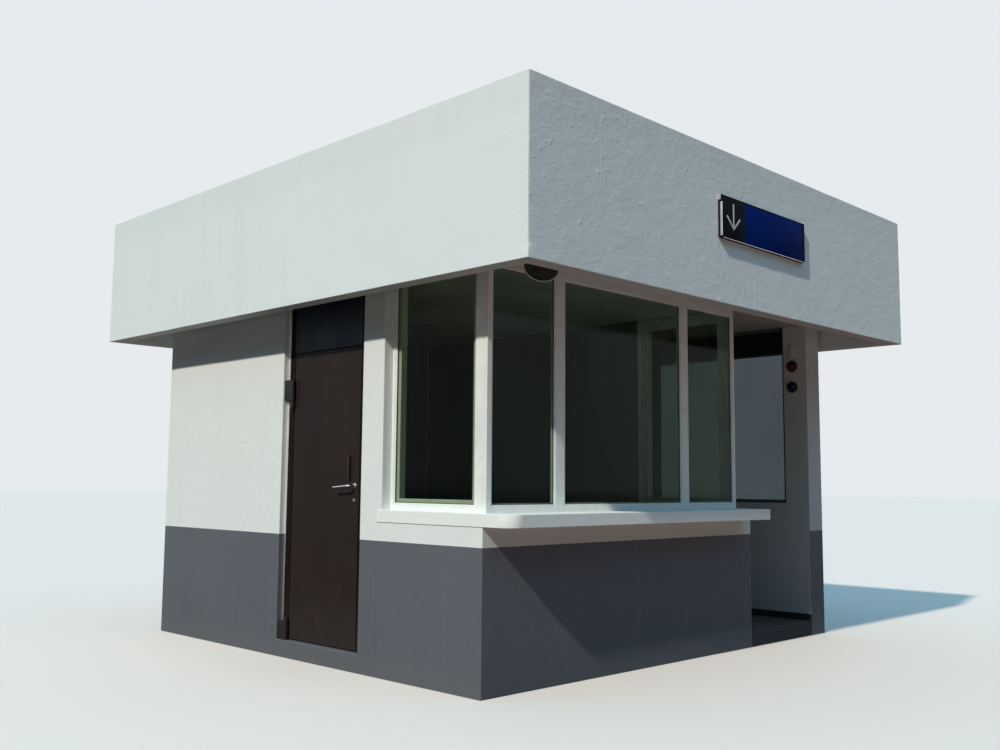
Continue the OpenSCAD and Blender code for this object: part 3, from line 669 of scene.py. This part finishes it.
# The second box only adds an edge at the dado's top
end_wall = blocks([((END_X0, 0, 0), (END_X1, DEPTH, CEILING)),
                   ((END_X0, 0, 0), (END_X1, DEPTH, DADO_H))], [end_hole], outer_dado)
round_edges(end_wall, 5, 3, keep=off_levels(0, CEILING))
end_wall.normal_update()
# The rounded arrises take the colour of their level too
for face in end_wall.faces:
    low = face.calc_center_median().z < DADO_H * MM
    face.material_index = int(low and face.normal.x > -0.9)
add_piece("end_wall", end_wall, ("end_wall", "dado"), "booth",
          ("end_wall_base", "end_wall_front_pier", "end_wall_rear"), crisp=True)


def fascia_ring():
    """The rendered parapet as one closed ring with hand-made waves in its faces."""
    lo, hi = LO["fascia_front"].copy(), HI["fascia_rear"].copy()
    lo.x, hi.x = LO["fascia_left"].x, HI["fascia_right"].x
    thick = HI["fascia_left"].x - LO["fascia_left"].x
    h = hi.z - lo.z
    # r is the radius of the arrises, and the rows lie closer at the worn foot
    r = 3
    near = r + 2
    foot, top_row, steps = 124, 30, 23
    outer = [(0, z) for z in (r, near, 30, 50, 72, 96, foot)]
    outer += [(0, foot + (h - foot - top_row) * i / steps) for i in range(1, steps + 1)]
    outer += [(0, h - near), (0, h - r)]
    section = [(30, 0), (near, 0), (r, 0), (r * 0.3, r * 0.3)] + outer
    section += [(r * 0.3, h - r * 0.3), (r, h), (near, h), (30, h), (thick / 2, h)]
    section += [(thick - 30, h), (thick - near, h), (thick - r, h)]
    section += [(thick - r * 0.3, h - r * 0.3), (thick, h - r), (thick, h - near)]
    section += [(thick, h - 90), (thick, h - 400), (thick, h / 2), (thick, 300), (thick, 90)]
    section += [(thick, near), (thick, r), (thick - r * 0.3, r * 0.3), (thick - r, 0)]
    section += [(thick - near, 0), (thick / 2, 0)]
    sides = [((1, 0), (0, -1)), ((0, 1), (1, 0)), ((-1, 0), (0, 1)), ((0, -1), (-1, 0))]
    spans = [hi.x - lo.x, hi.y - lo.y] * 2
    arc = 4
    sign_lo, sign_hi = LO["sign_box"], HI["sign_box"]
    bm = bmesh.new()
    rings = []
    for d, z in section:
        rr = max(r - d, 0.6)
        xs, ys = (lo.x + d, hi.x - d), (lo.y + d, hi.y - d)
        corners = [Vector((xs[0], ys[0])), Vector((xs[1], ys[0])),
                   Vector((xs[1], ys[1])), Vector((xs[0], ys[1]))]
        ring = []
        for k, (run, out) in enumerate(sides):
            run, out = Vector(run), Vector(out)
            a, b = corners[k] + run * rr, corners[(k + 1) % 4] - run * rr
            n = round(spans[k] / 40)
            inset = 2 / spans[k]
            ring += [a.lerp(b, t) for t in (0, inset, *(i / n for i in range(1, n)), 1 - inset, 1)]
            nxt = Vector(sides[(k + 1) % 4][1])
            c = b - out * rr
            ring += [c + (out * math.cos(t) + nxt * math.sin(t)) * rr
                     for t in (math.pi / 2 * i / (arc + 1) for i in range(1, arc + 1))]
        skin = max(0.0, 1 - d / 40)
        row = []
        for p in ring:
            q = at(p.x, p.y, lo.z + z)
            # Waves in mm, calmer round the sign, and a bitten arris low on the near corner
            wave = noise.noise_vector(q * 3.1) * 1.0 + noise.noise_vector(q * 8.5) * 0.4
            wave += noise.noise_vector(q * 17.0) * 0.25
            near_sign = (p.y < lo.y + 60 and sign_lo.x - 60 < p.x < sign_hi.x + 60
                         and sign_lo.z - 60 < lo.z + z < sign_hi.z + 60)
            if near_sign:
                wave *= 0.15
            corner = max(0.0, 1 - math.hypot(p.x - lo.x, p.y - lo.y) / 26)
            chip = max(0.0, 1 - abs(z - 70) / 62) * corner
            bite = max(0.0, noise.noise(q * 70.0) + 0.25) * 7 * chip
            push = wave * skin * MM
            push += Vector((bite, bite, 0)) * MM
            row.append(bm.verts.new(q + push))
        rings.append(row)
    count = len(rings[0])
    for a, b in zip(rings, rings[1:] + rings[:1]):
        for i in range(count):
            j = (i + 1) % count
            bm.faces.new([a[i], a[j], b[j], b[i]])
    return bm


add_piece("fascia_render", fascia_ring(), "fascia", "booth",
          ("fascia_front", "fascia_left", "fascia_right", "fascia_rear"), sharp=50)

add_piece("counter_top", round_edges(from_cad("counter_slab"), 3.5, 3, 40), "counter", "booth",
          ("counter_slab",), sharp=50, crisp=True)

repaint(cabin_floor="floor", passage_floor="passage", passage_skirting="skirting",
        roof_slab="slab")


# Windows

GLAZE_X0, GLAZE_X1 = LO["corner_posts"].x, HI["corner_posts"].x
POST_X0, POST_X1 = LO["front_window_frame"].x, HI["front_window_frame"].x
POST_Y1 = HI["corner_posts"].y
# The profiles are as deep as they look behind the glass, inside the deeper CAD solids
FRAME_D, LIP_D = 26, 8
FRAME_Y0 = LO["front_window_frame"].y
FRAME_Y1 = FRAME_Y0 + FRAME_D
PANE_Y0, PANE_Y1 = LO["front_panes"].y, HI["front_panes"].y
PANE_IN = PANE_Y0 - FRAME_Y0
PANE_T = 6
GROOVE = 11.7
SILL_Z, HEAD_Z = LO["front_panes"].z + GROOVE, HI["front_panes"].z - GROOVE
MULLION_W, STILE_W = 112, 40
FIRST_LIGHT_W, LAST_LIGHT_W = 568, 590
MULLIONS = ((POST_X0 + FIRST_LIGHT_W, POST_X0 + FIRST_LIGHT_W + MULLION_W),
            (POST_X1 - LAST_LIGHT_W - MULLION_W, POST_X1 - LAST_LIGHT_W))
STILE_Y0 = WINDOW_Y - STILE_W


def bars(name, boxes, node_name):
    """Frame members as separate rounded bars, so that their butt joints show."""
    bm = bmesh.new()
    for lo, hi in boxes:
        put_box(bm, lo, hi)
    add_piece(name, round_edges(bm, 1.2), "frame", "booth", (node_name,),
              crisp=True)


BEAD_W, BEAD_STEP = 12, 4
SEAL_W, SEAL_T = 4, 3
# The lips are wider on the side lights, which are seen at a slant
LIP_W = {"x": 28, "y": 9}
posts = []
for x0, x1, on_left in ((GLAZE_X0, POST_X0, True), (POST_X1, GLAZE_X1, False)):
    a, b = (x0, x1 - BEAD_W) if on_left else (x0 + BEAD_W, x1)
    posts.append(((a, FRAME_Y0, COUNTER_TOP), (b, FRAME_Y1, CEILING)))
    a, b = (x0, x0 + FRAME_D) if on_left else (x1 - FRAME_D, x1)
    posts.append(((a, FRAME_Y1, COUNTER_TOP), (b, POST_Y1 - BEAD_W, CEILING)))
bars("corner_post_bars", posts, "corner_posts")

lights = [(POST_X0, MULLIONS[0][0]), (MULLIONS[0][1], MULLIONS[1][0]), (MULLIONS[1][1], POST_X1)]
front = [((a + BEAD_W, FRAME_Y0, COUNTER_TOP), (b - BEAD_W, FRAME_Y1, CEILING))
         for a, b in MULLIONS]
for a, b in lights:
    x0, x1 = a - BEAD_W, b + BEAD_W
    front.append(((x0, FRAME_Y0, COUNTER_TOP), (x1, FRAME_Y1, SILL_Z - BEAD_W)))
    front.append(((x0, FRAME_Y0, HEAD_Z + BEAD_W), (x1, FRAME_Y1, CEILING)))
bars("front_frame_bars", front, "front_window_frame")

side = []
for x0 in (GLAZE_X0, GLAZE_X1 - FRAME_D):
    x1 = x0 + FRAME_D
    y0, y1 = POST_Y1 - BEAD_W, STILE_Y0 + BEAD_W
    side.append(((x0, y1, COUNTER_TOP), (x1, WINDOW_Y, CEILING)))
    side.append(((x0, y0, COUNTER_TOP), (x1, y1, SILL_Z - BEAD_W)))
    side.append(((x0, y0, HEAD_Z + BEAD_W), (x1, y1, CEILING)))
bars("side_frame_bars", side, "side_window_frames")


def ring_boxes(lo, hi, w, a, b, across):
    """Four mm boxes round an opening; across is 'x' for a pane that faces x."""
    (u0, z0), (u1, z1) = lo, hi
    cells = (((u0, z0), (u1, z0 + w)), ((u0, z1 - w), (u1, z1)),
             ((u0, z0 + w), (u0 + w, z1 - w)), ((u1 - w, z0 + w), (u1, z1 - w)))
    for (ua, za), (ub, zb) in cells:
        if across == "y":
            yield (ua, a, za), (ub, b, zb)
        else:
            yield (a, ua, za), (b, ub, zb)


def glazing(openings):
    """White beads on both faces of each pane, dark seals outside and white lips inside.

    An opening is its low and high corner, the pane's outer and inner face, the axis
    that it faces, and the way in; the beads fill the rebate that the bars leave.
    """
    beads, seals = bmesh.new(), bmesh.new()
    for lo, hi, face, back, across, inward in openings:
        outer = face - inward * PANE_IN
        inner = outer + inward * FRAME_D
        grown = [(lo[0] - BEAD_W, lo[1] - BEAD_W), (hi[0] + BEAD_W, hi[1] + BEAD_W)]
        for side_at, bar_at, out in ((face, outer, -inward), (back, inner, inward)):
            a, b = sorted((side_at, bar_at - out * BEAD_STEP))
            for box in ring_boxes(*grown, BEAD_W, a, b, across):
                put_box(beads, *box)
        a, b = sorted((face, face - inward * SEAL_T))
        for box in ring_boxes(lo, hi, SEAL_W, a, b, across):
            put_box(seals, *box)
        a, b = sorted((back + inward * 0.5, back + inward * LIP_D))
        for box in ring_boxes(lo, hi, LIP_W[across], a, b, across):
            put_box(beads, *box)
    return beads, seals


windows = [((a, SILL_Z), (b, HEAD_Z), PANE_Y0, PANE_Y1, "y", 1) for a, b in lights]
for face, inward in ((LO["side_panes"].x, 1), (HI["side_panes"].x, -1)):
    windows.append(((POST_Y1, SILL_Z), (STILE_Y0, HEAD_Z), face, face + inward * PANE_T, "x",
                    inward))
beads, seals = glazing(windows)
round_edges(beads, 1.5, 2)
add_piece("window_beads", beads, "frame", "booth", crisp=True)
add_piece("window_seals", seals, "gasket", "booth", crisp=True)

add_piece("end_frame", round_edges(from_cad("end_window_frame"), 2, keep=long_edges),
          "frame_grey", "booth", ("end_window_frame",), crisp=True)

repaint(front_panes="glass", side_panes="side_glass_painted_shade", end_pane="end_glass",
        transom_pane="door_panel")


# Door

add_piece("door_frame_bars", round_edges(from_cad("door_frame"), 2, 2, keep=long_edges),
          "door_frame", "booth", ("door_frame",), crisp=True)
add_piece("door_leaf_skin", round_edges(from_cad("door_leaf"), 2.5, 3, keep=long_edges),
          "door", "door", ("door_leaf",), crisp=True)
add_piece("hinge_block_bodies", round_edges(from_cad("hinge_blocks"), 2, 2, 50, long_edges),
          "hinge", "booth", ("hinge_blocks",))
add_piece("hinge_knuckle_bodies",
          round_edges(from_cad("hinge_knuckles"), 1.2, 2, 50, long_edges),
          "hinge", "door", ("hinge_knuckles",))

LOWER_BLOCK_H, UPPER_BLOCK_H = 130, 150
strip = bmesh.new()
jamb_x = LO["door_frame"].x
lower_top = FLOOR_H + LOWER_BLOCK_H
upper_top = HI["hinge_blocks"].z
for z0, z1 in ((lower_top + 4, upper_top - UPPER_BLOCK_H - 4), (upper_top + 4, CEILING - 2)):
    put_box(strip, (jamb_x - 3, DOOR_Y1 - 17, z0), (jamb_x, DOOR_Y1 - 0.5, z1))
round_edges(strip, 1, 2)
add_piece("jamb_strip", strip, "strip", "booth", crisp=True)

LEAF_X0, LEAF_X1 = LO["door_leaf"].x, HI["door_leaf"].x
LEVER_BACKSET, PULL_BACKSET = 46, 96
LEVER_Y, LEVER_Z = LO["door_leaf"].y + LEVER_BACKSET, 1245
LEVER_DROOP = math.radians(4)


def lever_path(face, out):
    """The lever's centre line: out of its rosette, round a bend, along the leaf."""
    pts, radii = [], []
    reach, bend, length = 58 if out < 0 else 48, 20, 172
    for x in (0.3, 12, 24, reach - bend):
        pts.append((face + out * x, 0, 0))
        radii.append((9.5, 9.5))
    for i in range(1, 7):
        t = math.pi / 2 * i / 6
        x = reach - bend + bend * math.sin(t)
        pts.append((face + out * x, bend * (1 - math.cos(t)), 0))
        radii.append((9.2 - i * 0.1, 8.8 - i * 0.3))
    for i in range(1, 11):
        y = bend + (length - bend) * i / 10
        pts.append((face + out * (reach - 1.5 * (i / 10) ** 2), y, 0))
        radii.append((8.6 - 0.5 * i / 10, 7.0 - 1.6 * i / 10))
    for shrink in (0.86, 0.5, 0.12):
        last = pts[-1]
        pts.append((last[0], last[1] + 2.6, 0))
        radii.append((8.1 * shrink, 5.4 * shrink))
    turn = Matrix.Rotation(-LEVER_DROOP, 3, "X")
    origin = at(0, LEVER_Y, LEVER_Z)
    flat = [turn @ (Vector(p) * MM) for p in pts]
    return [origin + p for p in flat], radii


levers = bmesh.new()
for face, out in ((LEAF_X0, -1), (LEAF_X1, 1)):
    path, radii = lever_path(face, out)
    tube(levers, path, radii, Vector((0, 0, 1)))
spindle = [(0, 0), (5, 0), (5, 52), (0, 52)]
lathe(levers, at(LEAF_X0 - 6, LEVER_Y, LEVER_Z), (1, 0, 0), spindle, 16)
add_piece("lever_handles", levers, "steel", "lever", ("door_lever",), sharp=45)

rosettes = bmesh.new()
cover = [(10, 0), (10, 5), (12, 6.4), (17, 6.4), (19.6, 5), (21, 3), (21, 0)]
key_plate = [(0, 0.4), (14, 0.4), (14, 3), (13, 4.6), (11.8, 5), (8.8, 5), (8.8, 7.8),
             (8, 8), (0, 8)]
KEY_DROP = 100
for face, out in ((LEAF_X0, -1), (LEAF_X1, 1)):
    lathe(rosettes, at(face, LEVER_Y, LEVER_Z), (out, 0, 0), cover + cover[:1])
    lathe(rosettes, at(face, LEVER_Y, LEVER_Z - KEY_DROP), (out, 0, 0), key_plate)
bmesh.ops.remove_doubles(rosettes, verts=rosettes.verts, dist=1e-6)
add_piece("lever_rosettes", rosettes, "dull_steel", "door",
          ("door_furniture",), sharp=30)

slots = bmesh.new()
for face, out in ((LEAF_X0, -1), (LEAF_X1, 1)):
    a, b = sorted((face + out * 7.6, face + out * 8.3))
    put_box(slots, (a, LEVER_Y - 1, LEVER_Z - KEY_DROP - 5),
            (b, LEVER_Y + 1, LEVER_Z - KEY_DROP + 5))
add_piece("key_slots", slots, "gasket", "door")

pull = bmesh.new()
pull_y = LO["door_leaf"].y + PULL_BACKSET
pull_z0 = LEVER_Z + 48
pull_z1 = pull_z0 + 165
put_box(pull, (LEAF_X0 - 24, pull_y - 11, pull_z0), (LEAF_X0 - 16, pull_y + 11, pull_z1))
for z0 in (pull_z0, pull_z1 - 22):
    put_box(pull, (LEAF_X0 - 16.5, pull_y - 9, z0 + 2), (LEAF_X0, pull_y + 9, z0 + 20))
round_edges(pull, 2, 2)
add_piece("door_pull", pull, "door_pull", "door", crisp=True)


# Sign and lamps

add_piece("sign_tray", round_edges(from_cad("sign_box"), 1.5, 2), "sign_tray", "booth",
          ("sign_box",), crisp=True)
tray_lo, tray_hi = LO["sign_box"], HI["sign_box"]
# Pale metal trim on the tray's left edge, top-left corner and lower edge; on the sunlit left side
# it is partly a painted highlight
trim = bmesh.new()
put_box(trim, (tray_lo.x - 1.5, tray_lo.y - 1.5, tray_lo.z + 12),
        (tray_lo.x + 5, tray_lo.y + 12, tray_hi.z - 52))
put_box(trim, (tray_lo.x - 1.5, tray_lo.y + 8, tray_hi.z - 34),
        (tray_lo.x + 8, tray_hi.y, tray_hi.z + 1.5))
put_box(trim, (tray_lo.x + 20, tray_lo.y - 0.8, tray_lo.z - 0.8),
        (tray_hi.x - 3, tray_lo.y + 3, tray_lo.z + 2))
round_edges(trim, 0.5, 2)
add_piece("sign_trim_and_highlight", trim, "sign_metal", "booth", crisp=True)
for node_name, piece, key in (("sign_arrow_field", "sign_left_field", "sign_black"),
                              ("sign_blank_field", "sign_right_field", "sign_blue")):
    add_piece(piece, round_edges(from_cad(node_name), 0.4, 2), key, "booth", (node_name,))


def arrow():
    """A down arrow with a straight shaft and two arms at 45 degrees, on the CAD one's middle."""
    lo, hi = LO["sign_arrow"], HI["sign_arrow"]
    reach, rise, stroke, lift = 88, 186, 15, 16
    x, foot = (lo.x + hi.x) / 2, lo.z + lift
    half, skew = stroke / 2, stroke / math.sqrt(2)
    side = [(reach, reach), (reach - skew, reach + skew), (half, half + 2 * skew),
            (half, rise)]
    outline = [(0, 0), *side, *((-u, v) for u, v in reversed(side))]
    bm = bmesh.new()
    back, front = ([bm.verts.new(at(x + u, y, foot + v)) for u, v in outline]
                   for y in (hi.y, lo.y))
    bm.faces.new(back)
    bm.faces.new(front)
    for i in range(len(outline)):
        bm.faces.new((back[i - 1], back[i], front[i], front[i - 1]))
    return round_edges(bm, 0.4, 2)


add_piece("sign_arrow_relief", arrow(), "sign_grey", "booth", ("sign_arrow",))


def signal_lamp(name, node_name, lens_key):
    """A back ring with a ribbed, domed lens on the end wall's passage face."""
    lo, hi = LO[node_name], HI[node_name]
    y, z = (lo.y + hi.y) / 2, (lo.z + hi.z) / 2
    origin, axis = at(END_X0, y, z), (-1, 0, 0)
    lens_r, lens_foot, steps = 46, 12, 24
    ring = bmesh.new()
    lathe(ring, origin, axis, [(0, 0), (51, 0), (51, 9), (49, lens_foot), (46.6, lens_foot),
                               (46.6, 8), (0, 8)], 56)
    add_piece(name + "_ring", ring, "lamp_ring", "booth", (node_name,), sharp=40)
    dome = [(0, 8.2), (lens_r, 8.2)]
    for i in range(steps):
        t = math.pi / 2 * i / steps
        # Every second row lies lower, which makes the ribs
        rib = 0.8 if i % 2 and i < steps - 2 else 0.0
        r, h = lens_r * math.cos(t), lens_foot + lens_r * math.sin(t)
        dome.append((max(r - rib * math.cos(t), 0), h - rib * math.sin(t)))
    dome.append((0, lens_foot + lens_r))
    lens = bmesh.new()
    lathe(lens, origin, axis, dome, 56)
    add_piece(name + "_lens", lens, lens_key, "booth", sharp=60)


signal_lamp("signal_red", "signal_lamp_red", "red")
signal_lamp("signal_blue", "signal_lamp_blue", "blue")

add_piece("bulkhead_body", round_edges(from_cad("bulkhead_light"), 2, 2, 50), "beige", "booth",
          ("bulkhead_light",))


def round_lamp():
    """The rimmed bowl under the front soffit, with a dark face and a pale rim."""
    turn, tilt = math.radians(65), math.radians(50)
    r, rim_t, depth, drop = 116, 12, 67, 102
    # The bowl is a cap of a ball of this radius, and its stem meets it this far back
    ball_r, stem_in = 133.5, 55
    back = Vector((math.sin(turn) * math.cos(tilt), math.cos(turn) * math.cos(tilt),
                   math.sin(tilt)))
    middle = at(238, -250, CEILING - drop)
    profile = [(0, 4), (r - 9, 4), (r - 9, 10), (r - 4, 10), (r - 8, rim_t)]
    for i in range(1, 12):
        h = rim_t + (depth - rim_t) * i / 12
        profile.append((math.sqrt(ball_r ** 2 - (h - depth + ball_r) ** 2), h))
    profile.append((0, depth))
    bowl = bmesh.new()
    lathe(bowl, middle, back, profile, 64)
    stem = middle + Vector((back.x, back.y, 0)) * (stem_in * MM)
    top = (CEILING * MM - stem.z) / MM
    foot = stem_in * math.sin(tilt)
    lathe(bowl, stem, (0, 0, 1), [(0, foot), (12, foot), (12, top - 8), (34, top - 8),
                                  (36, top - 6), (36, top), (0, top)], 40)
    add_piece("lamp_bowl", bowl, "dome", "booth", ("dome_lamp",), sharp=40)
    rim = bmesh.new()
    section = [(r - 9, 9), (r - 9, 1.2), (r - 7.8, 0), (r - 1.5, 0), (r, 1.5), (r, 10.5),
               (r - 1.5, rim_t), (r - 8, rim_t), (r - 8, 9)]
    lathe(rim, middle, back, section + section[:1], 96)
    bmesh.ops.remove_doubles(rim, verts=rim.verts, dist=1e-6)
    add_piece("lamp_rim", rim, "dome_ring", "booth", sharp=35)


round_lamp()


# Stage

FLOOR_SEEN = (0.84, 0.76, 0.70)
FLOOR_FRONT = (0.24, 0.15, 0.12)
FLOOR_REAR = (0.62, 0.46, 0.34)
FLOOR_REST = (0.008, 0.008, 0.008)
SKY_COLOR, BACKDROP = (0.33, 0.71, 1.0, 1), (0.80, 0.83, 0.86, 1)
SKY_LOW, SKY_HIGH = 0.25, 0.85
HORIZON, ZENITH = 0.01, 0.97
SUN_COLOR, SUN_STRENGTH = (1.0, 0.925, 0.81), 3.0
SUN_TRAVEL = Vector((1.0, 0.238, -0.89))


def stage_floor():
    """Pale floor that bounces more light in front of the counter and behind the booth."""
    bpy.ops.mesh.primitive_plane_add(size=240, location=(0, 0, -0.002))
    floor = bpy.context.object
    floor.name = "stage_floor"
    mat, tree, bsdf = node_tree("stage_floor")
    bsdf.inputs["Roughness"].default_value = 0.9
    coord = tree.nodes.new("ShaderNodeTexCoord")
    parts = tree.nodes.new("ShaderNodeSeparateXYZ")
    tree.links.new(coord.outputs["Object"], parts.inputs[0])
    x, y = parts.outputs[0], parts.outputs[1]
    away = soft_step(tree, y, at(0, -900, 0).y, at(0, -100, 0).y)
    color = mix_colors(tree, away, FLOOR_FRONT, FLOOR_REST)
    behind = calc(tree, "MULTIPLY", soft_step(tree, x, at(0, 0, 0).x, at(600, 0, 0).x),
                  soft_step(tree, y, at(0, 4300, 0).y, at(0, 5000, 0).y))
    color = mix_colors(tree, behind, color, FLOOR_REAR)
    path = tree.nodes.new("ShaderNodeLightPath")
    color = mix_colors(tree, path.outputs["Is Camera Ray"], color, FLOOR_SEEN)
    tree.links.new(color, bsdf.inputs["Base Color"])
    floor.data.materials.append(mat)


def studio_sky():
    """Sky-dome light, softer towards the horizon, so that the overhang shades what is under it.

    The camera, gloss and glass see a plain pale backdrop in its place.
    """
    world = bpy.data.worlds.new("studio")
    bpy.context.scene.world = world
    world.use_nodes = True
    tree = world.node_tree
    tree.nodes.clear()
    way = tree.nodes.new("ShaderNodeTexCoord")
    parts = tree.nodes.new("ShaderNodeSeparateXYZ")
    tree.links.new(way.outputs["Generated"], parts.inputs[0])
    strength = soft_step(tree, parts.outputs[2], SKY_LOW, SKY_HIGH, HORIZON, ZENITH)
    light = tree.nodes.new("ShaderNodeBackground")
    light.inputs["Color"].default_value = SKY_COLOR
    tree.links.new(strength, light.inputs["Strength"])
    back = tree.nodes.new("ShaderNodeBackground")
    back.inputs["Color"].default_value = BACKDROP
    back.inputs["Strength"].default_value = 1.0
    path = tree.nodes.new("ShaderNodeLightPath")
    seen = calc(tree, "MAXIMUM", path.outputs["Is Camera Ray"], path.outputs["Is Glossy Ray"])
    seen = calc(tree, "MAXIMUM", seen, path.outputs["Is Transmission Ray"])
    both = tree.nodes.new("ShaderNodeMixShader")
    tree.links.new(seen, both.inputs[0])
    tree.links.new(light.outputs[0], both.inputs[1])
    tree.links.new(back.outputs[0], both.inputs[2])
    out = tree.nodes.new("ShaderNodeOutputWorld")
    tree.links.new(both.outputs[0], out.inputs["Surface"])


def key_light():
    """One soft sun that lights the door side and grazes the counter side."""
    sun = bpy.data.lights.new("key", "SUN")
    sun.energy = SUN_STRENGTH
    sun.angle = math.radians(2)
    sun.color = SUN_COLOR
    key = bpy.data.objects.new("key", sun)
    bpy.context.scene.collection.objects.link(key)
    key.rotation_mode = "QUATERNION"
    key.rotation_quaternion = SUN_TRAVEL.to_track_quat("-Z", "Y")


def camera():
    """The photo's own camera, worked out from the building's straight edges."""
    yaw, pitch, roll = (math.radians(a) for a in (45.137, 6.005, 0.484))
    eye = at(-4352.3, -4470.8, 1268.5)
    sensor_w, focal_px, photo_w = 36, 1033.55, 1000
    ahead = Vector((math.sin(yaw) * math.cos(pitch), math.cos(yaw) * math.cos(pitch),
                    math.sin(pitch)))
    level = Vector((math.cos(yaw), -math.sin(yaw), 0))
    up = level.cross(ahead)
    right = level * math.cos(roll) + up * math.sin(roll)
    top = -level * math.sin(roll) + up * math.cos(roll)
    data = bpy.data.cameras.new("camera")
    data.sensor_width = sensor_w
    data.lens = sensor_w * focal_px / photo_w
    data.clip_end = 500
    cam = bpy.data.objects.new("camera", data)
    bpy.context.scene.collection.objects.link(cam)
    turn = Matrix((right, top, -ahead)).transposed().to_4x4()
    cam.matrix_world = Matrix.Translation(eye) @ turn
    bpy.context.scene.camera = cam


stage_floor()
studio_sky()
key_light()
camera()
bpy.context.scene.view_settings.view_transform = "Standard"
